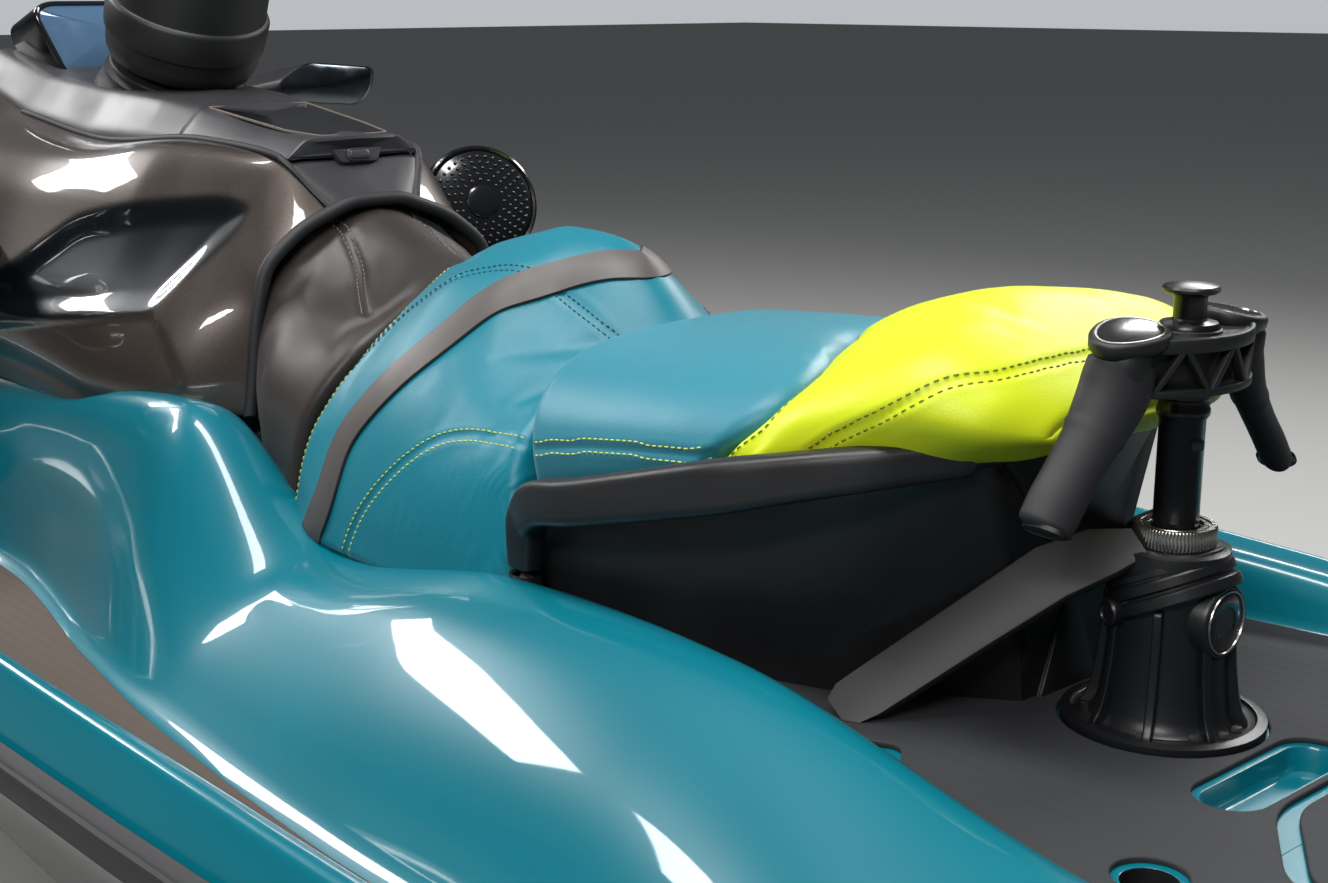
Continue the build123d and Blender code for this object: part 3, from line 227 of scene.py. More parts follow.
def grid_faces(rows, columns, closed_rows=False, closed_columns=False):
    """The four corners of each face between neighbouring points of a grid, as one array."""
    r = np.arange(rows if closed_rows else rows - 1)
    c = np.arange(columns if closed_columns else columns - 1)
    r, c = np.meshgrid(r, c, indexing="ij")
    r1, c1 = (r + 1) % rows, (c + 1) % columns
    return np.stack([r * columns + c, r * columns + c1, r1 * columns + c1, r1 * columns + c],
                    -1).reshape(-1, 4)


def shade(mesh, sharp_deg):
    """Smooth shading, but for edges sharper than an angle."""
    mesh.polygons.foreach_set("use_smooth", np.ones(len(mesh.polygons), bool))
    mesh.set_sharp_from_angle(angle=math.radians(sharp_deg))


def mesh_object(name, points, faces, sharp_deg=40.0):
    """A mesh object at the origin from arrays of points and faces, shaded smooth below an angle."""
    mesh = bpy.data.meshes.new(name)
    mesh.from_pydata(np.asarray(points, float).tolist(), [], [list(map(int, f)) for f in faces])
    mesh.validate()
    shade(mesh, sharp_deg)
    return linked(name, mesh)


print("helpers ready")

# %% Lines, circles and tables
SIDES = {1: "port", -1: "starboard"}


def unit(vectors, least=0.0):
    """Vectors over their lengths. A small least length keeps an empty vector finite."""
    return vectors / (np.linalg.norm(vectors, axis=-1, keepdims=True) + least)


def directions(path, least=0.0):
    """The direction of a path at each of its points."""
    return unit(np.gradient(path, axis=0), least)


def run_along(line):
    """The length run so far at each point of a line."""
    return np.concatenate([[0], np.cumsum(np.linalg.norm(np.diff(line, axis=0), axis=1))])


def turns(count):
    """Angles at even steps round a full turn."""
    return np.linspace(0, 2 * np.pi, count, endpoint=False)


def rectangle(wide=1.0, high=1.0):
    """The four corners of a rectangle about its middle."""
    return np.array([(-0.5, -0.5), (0.5, -0.5), (0.5, 0.5), (-0.5, 0.5)]) * (wide, high)


def frame_of(x0, x1, half):
    """The four corners of a rectangle from x0 to x1 that is even about the middle of the craft."""
    return np.array([(x0, -half), (x1, -half), (x1, half), (x0, half)], float)


def soft_loop(points, reach, steps=6):
    """A closed outline with rounded corners."""
    return rounded(np.array(points, float), reach, steps, closed=True)


def at_x(x, yz):
    """Outlines (y, z) put at their places along the craft, as points (x, y, z)."""
    return np.concatenate([np.broadcast_to(np.asarray(x)[:, None, None], yz[..., :1].shape), yz], -1)


def table_of(table):
    """The x values of a table and its outlines, as two arrays."""
    return np.array([x for x, _ in table], float), np.array([points for _, points in table], float)


def read_table(table, x):
    """A table's outlines, where place k of row i is read at its own x[i, k]."""
    xs, half = table_of(table)
    return np.stack([through(xs, half[:, k], x[:, k]) for k in range(half.shape[1])], 1)


print("sides:", *SIDES.values())

# %% [markdown]
# ## Finishes
# Every finish starts from the real one: what it is and how its surface was made. The patterns are
# procedural and sized in millimetres, and they read Object coordinates, so they stay on the piece in
# every view. Gelcoat and gloss plastic are the same idea: a coloured body under a clear smooth skin.

# %% Moulded and coated finishes
def new_material(name, **inputs):
    """A material with one Principled shader. Its inputs are named with _ for a space."""
    material = bpy.data.materials.new(name)
    material.use_nodes = True
    tree = material.node_tree
    tree.nodes.clear()
    place = add(tree, "ShaderNodeTexCoord").outputs["Object"]
    shader = add(tree, "ShaderNodeBsdfPrincipled", **inputs)
    add(tree, "ShaderNodeOutputMaterial", {"Surface": shader.outputs[0]})
    return material, tree, place, shader


def blend(tree, factor, hex_code, other_hex):
    """A colour between two, by a factor from 0 to 1."""
    mix = add(tree, "ShaderNodeMix", {"Factor": factor}, data_type="RGBA")
    mix.inputs[6].default_value = colour(hex_code)
    mix.inputs[7].default_value = colour(other_hex)
    return mix.outputs[2]


def worn(tree, shader, noise, least, most):
    """Roughness between two values, as the middle of a noise goes from low to high."""
    spread = add(tree, "ShaderNodeMapRange", {"Value": noise.outputs["Fac"]}, From_Min=0.3, From_Max=0.7,
                 To_Min=least, To_Max=most)
    tree.links.new(spread.outputs[0], shader.inputs["Roughness"])


def bumped(tree, shader, height, high_mm, **settings):
    """Bumps of a height on the shader's normal."""
    bump = add(tree, "ShaderNodeBump", {"Height": height}, Distance=high_mm * MM, **settings)
    tree.links.new(bump.outputs[0], shader.inputs["Normal"])


def speckle(tree, place, shader, size_mm, height_mm, detail=2.0):
    """Noise bumps of one size across and high, as on a mould's grain or a sprayed coat."""
    noise = add(tree, "ShaderNodeTexNoise", {"Vector": place}, Scale=1 / (size_mm * MM), Detail=detail)
    bumped(tree, shader, noise.outputs["Fac"], height_mm)
    return noise


def gelcoat(name, hex_code, deep_hex):
    """Sprayed gelcoat over a polished mould: a clear deep gloss with a long, faint waviness."""
    material, tree, place, shader = new_material(name, Roughness=0.32, Specular_IOR_Level=0.25,
                                                 Coat_Weight=0.6, Coat_Roughness=0.035)
    wave = add(tree, "ShaderNodeTexNoise", {"Vector": place}, Scale=1 / (260 * MM), Detail=1.0)
    tree.links.new(blend(tree, wave.outputs["Fac"], hex_code, deep_hex), shader.inputs["Base Color"])
    speckle(tree, place, shader, 14, 0.02, 1.0)
    return material


def moulded(name, hex_code, roughness, grain_mm=1.6, grain_high=0.12, coat=0.0):
    """Injection-moulded ABS or nylon. The mould's eroded grain scatters light, and wear polishes it."""
    material, tree, place, shader = new_material(name, Base_Color=colour(hex_code), Coat_Weight=coat,
                                                 Coat_Roughness=0.06)
    speckle(tree, place, shader, grain_mm, grain_high)
    patches = add(tree, "ShaderNodeTexNoise", {"Vector": place}, Scale=1 / (70 * MM), Detail=3.0)
    worn(tree, shader, patches, roughness - 0.05, roughness + 0.06)
    return material


def flaked(name, hex_code, light_hex, field=None, field_hex=None):
    """Gloss plastic with aluminium flake in its colour, under a clear coat. A second colour can
    cover the field that an attribute of the piece marks."""
    material, tree, place, shader = new_material(name, Metallic=0.55, Roughness=0.36, Coat_Weight=1.0,
                                                 Coat_Roughness=0.04)
    flakes = add(tree, "ShaderNodeTexVoronoi", {"Vector": place}, Scale=1 / (0.8 * MM))
    light = add(tree, "ShaderNodeMapRange", {"Value": flakes.outputs["Color"]}, From_Min=0.2, From_Max=1.0)
    shown = blend(tree, light.outputs[0], hex_code, light_hex)
    # The second colour covers the marked field; on the side panels it is painted shade in the scoop.
    if field:
        marked = add(tree, "ShaderNodeAttribute", attribute_name=field)
        cover = add(tree, "ShaderNodeMix", {"Factor": marked.outputs["Fac"], 6: shown}, data_type="RGBA")
        cover.inputs[7].default_value = colour(field_hex)
        shown = cover.outputs[2]
    tree.links.new(shown, shader.inputs["Base Color"])
    return material


# %% Metals
def metal(name, hex_code, roughness, grain_mm=3.0, grain_high=0.05, stretch=(1, 1, 1)):
    """Bare metal. The grain is sand-cast pits, or drawn lines where it is stretched along an axis."""
    material, tree, place, shader = new_material(name, Base_Color=colour(hex_code), Metallic=1.0)
    drawn = add(tree, "ShaderNodeMapping", {"Vector": place}, Scale=stretch)
    noise = speckle(tree, drawn.outputs[0], shader, grain_mm, grain_high, 3.0)
    worn(tree, shader, noise, roughness - 0.06, roughness + 0.08)
    return material


def coated(name, hex_code, roughness, metallic=0.0, peel_mm=2.4):
    """Powder coat or anodising on metal: an even colour with a fine orange peel."""
    material, tree, place, shader = new_material(name, Base_Color=colour(hex_code), Metallic=metallic,
                                                 Roughness=roughness)
    speckle(tree, place, shader, peel_mm, 0.06, 1.0)
    return material


# %% Vinyl, foam and rubber
def vinyl(name, hex_code, shade_hex, roughness=0.42, sheen=0.05):
    """Marine vinyl: a calendered skin embossed with a leather grain, satin, darker and rougher in broad
    patches.
    """
    material, tree, place, shader = new_material(name, Specular_IOR_Level=0.35, Sheen_Weight=sheen,
                                                 Sheen_Roughness=0.4)
    cells = add(tree, "ShaderNodeTexVoronoi", {"Vector": place}, Scale=1 / (1.9 * MM),
                feature="DISTANCE_TO_EDGE")
    creases = add(tree, "ShaderNodeMapRange", {"Value": cells.outputs["Distance"]}, From_Max=0.18)
    patches = add(tree, "ShaderNodeTexNoise", {"Vector": place}, Scale=1 / (90 * MM), Detail=4.0)
    tree.links.new(blend(tree, patches.outputs["Fac"], hex_code, shade_hex), shader.inputs["Base Color"])
    bumped(tree, shader, creases.outputs[0], 0.10, Strength=0.55)
    worn(tree, shader, patches, roughness - 0.05, roughness + 0.05)
    return material


def foam_mat(name, hex_code, rib_mm, rib_high):
    """Closed-cell foam traction mat, hot-pressed with fine ribs that run fore and aft."""
    material, tree, place, shader = new_material(name, Base_Color=colour(hex_code), Roughness=0.82)
    ribs = add(tree, "ShaderNodeTexWave", {"Vector": place}, Scale=1 / (rib_mm * MM) / 6.283,
               bands_direction="Y", Distortion=0.0)
    grain = add(tree, "ShaderNodeTexNoise", {"Vector": place}, Scale=1 / (1.8 * MM), Detail=2.0)
    both = add(tree, "ShaderNodeMath", {0: ribs.outputs["Fac"], 1: grain.outputs["Fac"]}, operation="ADD")
    bumped(tree, shader, both.outputs[0], rib_high)
    return material


def rubber(name, hex_code, roughness=0.62):
    """Moulded EPDM: dull black with a faint bloom."""
    material, tree, place, shader = new_material(name, Base_Color=colour(hex_code), Roughness=roughness)
    speckle(tree, place, shader, 2.2, 0.08)
    return material


FINISH = {
    "teal": gelcoat("gelcoat_teal", "#016A79", "#015D6B"),
    "black": gelcoat("gelcoat_black", "#101113", "#0C0D0F"),
    "taupe": flaked("flaked_gloss_taupe", "#3F3732", "#4E453F"),
    # The navy colour #0A1016 in the panels' scoop is painted shade and a painted dark reflection.
    "panel": flaked("flaked_gloss_taupe_with_painted_shade", "#3F3732", "#4E453F", "painted_shade_field", "#0A1016"),
    "satin": moulded("grained_abs_black", "#101012", 0.46),
    "rail": moulded("grained_abs_rail", "#19181A", 0.44, 1.4, 0.1),
    "grey": moulded("satin_abs_grey", "#2C2B2E", 0.42, 1.4, 0.06),
    "gloss": moulded("gloss_abs_black", "#0D0E10", 0.16, 3.0, 0.02, 0.6),
    "nylon": moulded("glass_filled_nylon", "#0F1011", 0.5, 1.8, 0.16),
    "foam_black": foam_mat("foam_mat_charcoal", "#232427", 9.0, 0.14),
    "foam_taupe": foam_mat("foam_mat_taupe", "#4D423A", 7.0, 0.35),
    "rubber": rubber("epdm_rubber", "#17171A"),
    "bellows": rubber("bellows_rubber", "#141416", 0.5),
    "teal_vinyl": vinyl("marine_vinyl_teal", "#056F80", "#046676"),
    "blue_vinyl": vinyl("marine_vinyl_blue", "#2C7A8B", "#266F80", 0.38, 0.15),
    "lime_vinyl": vinyl("marine_vinyl_lime", "#C6D31B", "#BAC914"),
    "taupe_vinyl": vinyl("marine_vinyl_taupe", "#2E2926", "#282321"),
    "thread_lime": rubber("polyester_thread_lime", "#B9C24A", 0.55),
    "thread_dark": rubber("polyester_thread_teal", "#083E4A", 0.55),
    "thread_taupe": rubber("polyester_thread_taupe", "#6A615A", 0.55),
    "thread_olive": rubber("polyester_thread_olive", "#6E7A12", 0.55),
    "strap": moulded("coated_webbing", "#48423F", 0.5, 1.2, 0.05),
    "casting": coated("coated_casting_black", "#111214", 0.38),
    "strut": coated("powder_coat_grey", "#2C2A29", 0.55),
    "tube": coated("anodised_tube_black", "#0F1012", 0.3, 0.2),
    "stainless": metal("turned_stainless", "#B4B0AA", 0.26, 1.2, 0.03, (1, 1, 6)),
    "cast": metal("cast_aluminium", "#A9ABAE", 0.46, 2.6, 0.12),
    "dark_cast": coated("coated_alloy_dark", "#1C1D1F", 0.5, 0.1),
    "display": moulded("display_glass", "#46617C", 0.14, 3.0, 0.01, 0.6),
    "iron": coated("painted_iron", "#26282B", 0.6),
    "mirror": metal("silvered_glass", "#6C7278", 0.09, 40.0, 0.001),
}
print("finishes:", len(FINISH))

# %% A finish for every node of the frame
NODE_FINISH = {
    "teal": ["deck", "footwells", "bow_deck"], "black": ["hull"],
               "rubber": ["rub_rail", "grips", "pylon_grips"], "iron": ["engine"],
    "dark_cast": ["ride_plate", "reverse_bucket", "boarding_step"],
    "cast": ["pump_housing", "nozzle", "intake_grate"], "stainless": ["tow_eyes", "impeller", "pylon_ring"],
    "satin": ["sponsons", "step_brackets", "seat_shroud", "storage_bin", "steering_pad"],
    "rail": ["grab_rails"], "foam_taupe": ["footwell_mats"], "foam_black": ["platform_mat"],
    "taupe": ["side_panels"], "grey": ["console", "glovebox_lid"],
    "gloss": ["gauge", "speakers", "storage_lid", "mirrors"], "taupe_vinyl": ["knee_pad"],
    "teal_vinyl": ["driver_seat"], "blue_vinyl": ["passenger_seat"], "lime_vinyl": ["seat_bolster"],
    "strap": ["seat_strap"], "casting": ["pylon_base"], "strut": ["pylon_struts"],
               "bellows": ["steering_boot"],
    "tube": ["handlebar", "levers", "pylon_post"], "nylon": ["pylon_head"], "mirror": ["mirror_glass"],
}
for key, names in NODE_FINISH.items():
    for name in names:
        mesh = NODES[name].data
        mesh.materials.clear()
        mesh.materials.append(FINISH[key])
print("dressed nodes:", sum(len(names) for names in NODE_FINISH.values()))


# %% [markdown]
# ## Hull and deck
# Two mouldings meet along the rub rail. Each is a shell whose outline changes slowly from the stern
# to the bow, so each is lofted: a table gives a few outlines, and a smooth curve joins them. The
# table is in millimetres. A column of the table is one line of the craft, such as its chine.

# %% Lines of the hull
BOW_X = 1725.5
HALF_BEAM = 627.5
RAIL_THICK = 14.0
RAIL_HIGH = 44.0
STATIONS = np.array([-1699.5, -0.81 * BOW_X, -0.58 * BOW_X, -0.405 * BOW_X, -0.232 * BOW_X, -0.116 * BOW_X,
                     0.116 * BOW_X, 0.348 * BOW_X, 0.58 * BOW_X, 0.754 * BOW_X, 0.887 * BOW_X, BOW_X - 35])
# keel z, chine y, chine z, inset of the rail line, rail line z
HULL = np.array([
    (-256, 500, -95, 68, 140), (-260, 510, -95, 28, 132), (-260, 512, -92, 9, 124),
                 (-260, 510, -88, 3, 121),
    (-260, 506, -85, 0, 120), (-260, 500, -82, 0, 121), (-260, 480, -72, 4, 128), (-254, 430, -52, 36, 152),
    (-224, 340, -10, 126, 192), (-148, 225, 50, 262, 230), (-18, 115, 120, 412, 258),
                 (180, 32, 214, 546, 278)])
KEEL, CHINE_Y, CHINE_Z, INSET, RAIL_Z = range(5)
HULL_CORNERS = [0, 6, 5, 5, 6, 8, 60, 4]
CHINE_FLAT = 42 / 512
CHINE_DROP = 9 / 512
STATION_STEP = 22.0


def stations(x0, x1, step=STATION_STEP, also=()):
    """Places along x from x0 to x1, evenly spaced, with some more put in exactly."""
    count = max(2, int(round(abs(x1 - x0) / step)) + 1)
    return np.unique(np.concatenate([np.linspace(x0, x1, count), np.asarray(also, float)]))


def hull_line(column, x):
    return through(STATIONS, HULL[:, column], x)


def rail_y(x):
    """How far out the join of hull and deck is, on the port side."""
    return HALF_BEAM - RAIL_THICK - hull_line(INSET, x)


def hull_outline(x):
    """Half outlines of the hull at each x, from the keel pad out over a strake to the chine and rail."""
    keel, chine_y, chine_z = hull_line(KEEL, x), hull_line(CHINE_Y, x), hull_line(CHINE_Z, x)
    edge_y, edge_z = rail_y(x), hull_line(RAIL_Z, x)
    inner_y = chine_y * (1 - CHINE_FLAT)
    strake_y, strake_z = 0.5 * inner_y, keel + 0.5 * (chine_z - keel)
    knuckle_y, knuckle_z = chine_y + 0.72 * (edge_y - chine_y), chine_z + 0.55 * (edge_z - chine_z)
    pairs = [(0 * x, keel), (np.minimum(18, 0.2 * chine_y), keel + 1), (strake_y, strake_z),
             (strake_y + 0.045 * inner_y, strake_z - 2), (inner_y, chine_z),
             (chine_y, chine_z - CHINE_DROP * chine_y), (knuckle_y, knuckle_z), (edge_y, edge_z)]
    return np.stack([np.stack(pair, -1) for pair in pairs], 1)


def mirrored_rows(x, half):
    """Outlines right across the craft, from port to starboard, as points (x, y, z)."""
    return at_x(x, np.concatenate([half[:, ::-1], half[:, 1:] * (-1, 1)], 1))


WELD_MM = 0.02
LEAST_AREA = 1e-4


def dressed(piece, finish, body="craft", stands_for=(), like=None):
    """Gives a piece its finish, its body and the nodes that it stands for. The node that it is like is not
    used."""
    piece.data.materials.append(FINISH[finish])
    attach(piece, body)
    if stands_for:
        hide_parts(*stands_for)
    return piece


def of_pair(node, side):
    """How one of a pair is dressed: both are like the node, and the port one stands for it."""
    return {"stands_for": [node] if side > 0 else (), "like": node}


def cleaned(piece, weld=False, outwards=False):
    """Joins points that lie at one place, or turns all faces of a closed piece outwards."""
    mesh = bmesh.new()
    mesh.from_mesh(piece.data)
    if weld:
        bmesh.ops.remove_doubles(mesh, verts=mesh.verts, dist=WELD_MM * MM)
    if outwards:
        bmesh.ops.recalc_face_normals(mesh, faces=mesh.faces)
    mesh.to_mesh(piece.data)
    mesh.free()


def with_area(points, faces):
    """Which faces have an area. A face at a pole has two corners at one place and may have none."""
    corners = points[faces]
    crossed = np.cross(corners[:, 2] - corners[:, 0], corners[:, 3] - corners[:, 1])
    return np.linalg.norm(crossed, axis=1) > LEAST_AREA


def welded(name, points, faces, sharp_deg, outwards=False):
    """A piece from the points that its faces use, in mm, with points at one place joined."""
    used, index = np.unique(faces, return_inverse=True)
    piece = mesh_object(name, points[used] * MM, index.reshape(-1, 4), sharp_deg)
    cleaned(piece, weld=True, outwards=outwards)
    piece.data.set_sharp_from_angle(angle=math.radians(sharp_deg))
    return piece


def surface(name, grid, keep=None, sharp_deg=40.0, flip=False, closed_rows=False, closed_columns=False):
    """A surface over a grid of points in mm. keep says which faces stay, from their middles."""
    faces = grid_faces(*grid.shape[:2], closed_rows, closed_columns)
    points = grid.reshape(-1, 3)
    good = with_area(points, faces)
    if keep is not None:
        good &= keep(points[faces].mean(1))
    return welded(name, points, faces[good][:, ::-1] if flip else faces[good], sharp_deg)


def closed_skin(name, grid, finish, sharp_deg=60, closed_rows=False, **dressing):
    """A dressed skin over a grid that is closed around, with its faces outwards. The dressing is the
    body, the nodes that it stands for and the node that it is like."""
    piece = surface(name, grid, sharp_deg=sharp_deg, closed_rows=closed_rows, closed_columns=True)
    cleaned(piece, outwards=True)
    return dressed(piece, finish, **dressing)


# %% The hull's skin, open where its pump tunnel and its intake are
TUNNEL_HALF = 152.0
TUNNEL_ROOF = 98.0
TUNNEL_AHEAD = -1385.0
PUMP_ROOF = -14.0
PUMP_FRONT = -1200.0
INTAKE_FRONT = -760.0
INTAKE_HALF = 88.0


def make_hull():
    """The hull from keel to rail. Ahead of the pump the grid's inner columns stand on the edge of
    the intake, and beside the pump on the edge of the tunnel."""
    x = stations(STATIONS[0], STATIONS[-1], also=[PUMP_FRONT, PUMP_FRONT + 1, INTAKE_FRONT,
                                                  INTAKE_FRONT + 1])
    half = rounded(hull_outline(x), HULL_CORNERS, 4)
    width = np.where(x <= PUMP_FRONT, TUNNEL_HALF, np.where(x <= INTAKE_FRONT, INTAKE_HALF, 0.0))
    beyond = np.maximum(half[..., 0], width[:, None])
    beyond[:, 0] = 0
    height = np.stack([np.interp(b, row[:, 0], row[:, 1]) for b, row in zip(beyond, half)])
    height = np.where(half[..., 0] > width[:, None], half[..., 1], height)
    port = np.stack([beyond, height], -1)
    edge = np.stack([width, np.stack([np.interp(w, row[:, 0], row[:, 1]) for w, row in zip(width, half)])],
                    -1)
    port = np.concatenate([port[:, :1], edge[:, None], port[:, 1:]], 1)

    def keep(c):
        in_tunnel = (c[:, 0] < PUMP_FRONT) & (abs(c[:, 1]) < TUNNEL_HALF - 0.5)
        in_duct = (c[:, 0] > PUMP_FRONT) & (c[:, 0] < INTAKE_FRONT) & (abs(c[:, 1]) < INTAKE_HALF - 0.5)
        return ~((in_tunnel | in_duct) & (c[:, 2] < -150))

    piece = surface("hull_skin", mirrored_rows(x, port), keep=keep, sharp_deg=24)
    return dressed(piece, "black", stands_for=["hull"])


def make_tunnel():
    """The tunnel's two steps and the intake's sloping duct, as strips carried across the craft."""
    low = -200.0
    side = [(INTAKE_FRONT, low - 60), (INTAKE_FRONT - 60, low - 20), (PUMP_FRONT + 130, -48),
            (PUMP_FRONT, -40)]
    roof = [(PUMP_FRONT, PUMP_ROOF), (TUNNEL_AHEAD, PUMP_ROOF), (TUNNEL_AHEAD, TUNNEL_ROOF),
            (STATIONS[0], TUNNEL_ROOF)]
    for name, line, half in (("intake_duct", side, INTAKE_HALF), ("pump_tunnel", roof, TUNNEL_HALF)):
        line = np.array(line, float)
        across = [(half, low), (half, None), (-half, None), (-half, low)]
        grid = np.array([[(x, y, z if at is None else min(at, z)) for y, at in across] for x, z in line])
        dressed(surface(name, grid, sharp_deg=20), "black", like="hull")
    places = (-TUNNEL_HALF, -INTAKE_HALF, INTAKE_HALF, TUNNEL_HALF)
    wall = np.array([[(PUMP_FRONT, y, z) for y in places] for z in (low, PUMP_ROOF)])
    dressed(surface("pump_wall", wall, keep=lambda c: abs(c[:, 1]) > INTAKE_HALF), "black", like="hull")


def make_transom():
    """The hull's flat end, as a strip between its outline and the tunnel's opening."""
    x = STATIONS[:1]
    half = rounded(hull_outline(x), HULL_CORNERS, 4)[0]
    half = half[half[:, 0] > TUNNEL_HALF]
    start = (TUNNEL_HALF, np.interp(TUNNEL_HALF, *rounded(hull_outline(x), 5, 4)[0].T))
    outer = np.concatenate([[start], half, [(half[-1, 0], half[-1, 1]), (TUNNEL_HALF, half[-1, 1])]])
    inner = np.stack([np.full(len(outer), TUNNEL_HALF), np.minimum(outer[:, 1], half[-1, 1])], -1)
    made = []
    for side, where in SIDES.items():
        grid = np.stack([np.insert(line * (side, 1), 0, x[0], axis=1) for line in (inner, outer)])
        made.append(surface(f"transom_{where}", grid, flip=side > 0))
    sides = (TUNNEL_HALF, -TUNNEL_HALF)
    top = np.array([[(x[0], y, z) for y in sides] for z in (TUNNEL_ROOF, half[-1, 1])])
    made.append(surface("transom_middle", top, flip=True))
    for piece in made:
        dressed(piece, "black", like="hull")


hull_skin = make_hull()
make_tunnel()
make_transom()
print("hull faces:", len(hull_skin.data.polygons))

# %% [markdown]
# ## The deck
# The deck is one glossy moulding with a bed for the seats, crests beside it, deep footwells and
# rounded gunwales. Its soft corners catch the studio's light as narrow streaks, so each line of the
# deck has its own corner radius.

# %% Lines of the deck
# centre, bed edge, inner crest, outer crest, flank, foot of flank, floor edge, gunwale inside and
# gunwale outside
DECK = np.array([
    [(0, 205), (250, 205), (262, 216), (380, 218), (450, 208), (480, 203), (498, 200), (514, 196),
     (532, 186)],
    [(0, 215), (285, 215), (300, 240), (345, 243), (430, 216), (492, 190), (518, 187), (543, 186),
     (570, 178)],
    [(0, 215), (238, 215), (248, 278), (297, 272), (385, 208), (462, 92), (510, 84), (538, 160),
     (580, 190)],
    [(0, 215), (205, 215), (222, 262), (300, 248), (374, 182), (449, 80), (518, 72), (540, 162),
     (585, 197)],
    [(0, 215), (200, 214), (238, 212), (300, 200), (362, 150), (424, 80), (522, 72), (545, 166),
     (588, 202)],
    [(0, 250), (180, 250), (228, 330), (290, 342), (345, 214), (391, 80), (524, 73), (546, 174),
     (588, 208)],
    [(0, 285), (190, 285), (230, 298), (276, 302), (302, 200), (318, 80), (518, 77), (543, 192),
     (584, 222)],
    [(0, 320), (205, 320), (300, 316), (350, 300), (380, 240), (400, 175), (478, 172), (515, 236),
     (548, 246)],
    [(0, 345), (210, 340), (260, 334), (310, 326), (345, 318), (370, 311), (395, 304), (420, 296),
     (462, 280)],
    [(0, 345), (130, 342), (165, 338), (200, 333), (230, 327), (255, 321), (280, 314), (302, 306),
     (332, 294)],
    [(0, 335), (60, 334), (80, 332), (100, 329), (118, 326), (135, 322), (152, 317), (168, 312),
     (186, 302)],
    [(0, 322), (14, 322), (20, 321), (26, 320), (32, 318), (38, 316), (44, 313), (50, 310), (56, 304)]],
                float)
DECK_CORNERS = [0, 0, 12, 25, 60, 60, 25, 12, 18, 14, 3]
BIN = (700.0, 1180.0, 170.0)
CUPS = (-1395.0, -1240.0, 262.0)


def deck_outline(x):
    """Half outlines of the deck at each x, with one more line at the sides of the bin and one that
    goes down to the rail."""
    half = through(STATIONS, DECK, x)
    share = np.minimum(0.83, BIN[2] / np.maximum(half[:, 1, 0], 1))
    bin_line = half[:, 0] + (half[:, 1] - half[:, 0]) * share[:, None]
    rail = np.stack([rail_y(x), hull_line(RAIL_Z, x)], -1)
    half = np.concatenate([half[:, :1], bin_line[:, None], half[:, 1:], rail[:, None]], 1)
    return rounded(half, DECK_CORNERS, 6)


def make_deck():
    """The whole deck in one skin, open over the storage bin and under the mat's recesses."""
    x = stations(STATIONS[0], STATIONS[-1], 18, also=[*BIN[:2], *CUPS[:2]])

    def keep(c):
        over_bin = (c[:, 0] > BIN[0]) & (c[:, 0] < BIN[1]) & (abs(c[:, 1]) < BIN[2] - 1)
        under_mat = (c[:, 0] > CUPS[0]) & (c[:, 0] < CUPS[1]) & (abs(c[:, 1]) < CUPS[2])
        return ~(over_bin | under_mat)

    piece = surface("deck_skin", mirrored_rows(x, deck_outline(x)), keep=keep, sharp_deg=32, flip=True)
    return dressed(piece, "teal", stands_for=["deck", "footwells", "bow_deck"])


def make_deck_ends():
    """The deck's flat end at the stern, a strip from the rail line up to the outline."""
    x = STATIONS[:1]
    half = deck_outline(x)[0]
    top = np.concatenate([half[::-1], half[1:] * (-1, 1)])
    low = np.stack([top[:, 0], np.full(len(top), hull_line(RAIL_Z, x)[0])], -1)
    grid = np.stack([np.insert(line, 0, x[0], axis=1) for line in (low, np.maximum(top, low))])
    return dressed(surface("deck_stern", grid, flip=True), "teal", like="deck")


def make_rail():
    """The rub rail: a rounded moulding carried along the join, round the bow and across the stern."""
    x = stations(STATIONS[0], STATIONS[-1], 20)
    y, z = rail_y(x), hull_line(RAIL_Z, x)
    half = RAIL_HIGH / 2
    section = np.array([(0, -half), (RAIL_THICK, -half + 9), (RAIL_THICK, half - 9), (0, half)])
    section = rounded(section, 8, 5)
    port = np.stack([np.broadcast_to(x[:, None], (len(x), len(section))),
                     y[:, None] + section[:, 0], z[:, None] + section[:, 1]], -1)
    made = [surface("rub_rail_port", port), surface("rub_rail_starboard", port * (1, -1, 1), flip=True)]
    for piece in made:
        dressed(piece, "rubber", like="rub_rail")


deck_skin = make_deck()
make_deck_ends()
make_rail()
print("deck faces:", len(deck_skin.data.polygons))

# %% [markdown]
# ## Seats
# The real seats are foam cushions under sewn marine vinyl. Each cushion here is a closed grid: an
# outline table is read at each row, and both ends follow the line of the sewn joint. The grid is
# then blown up a little with cloth simulation, as tight foam fills its cover, and the seams are
# pressed in afterwards, because a simulation would smooth them away.

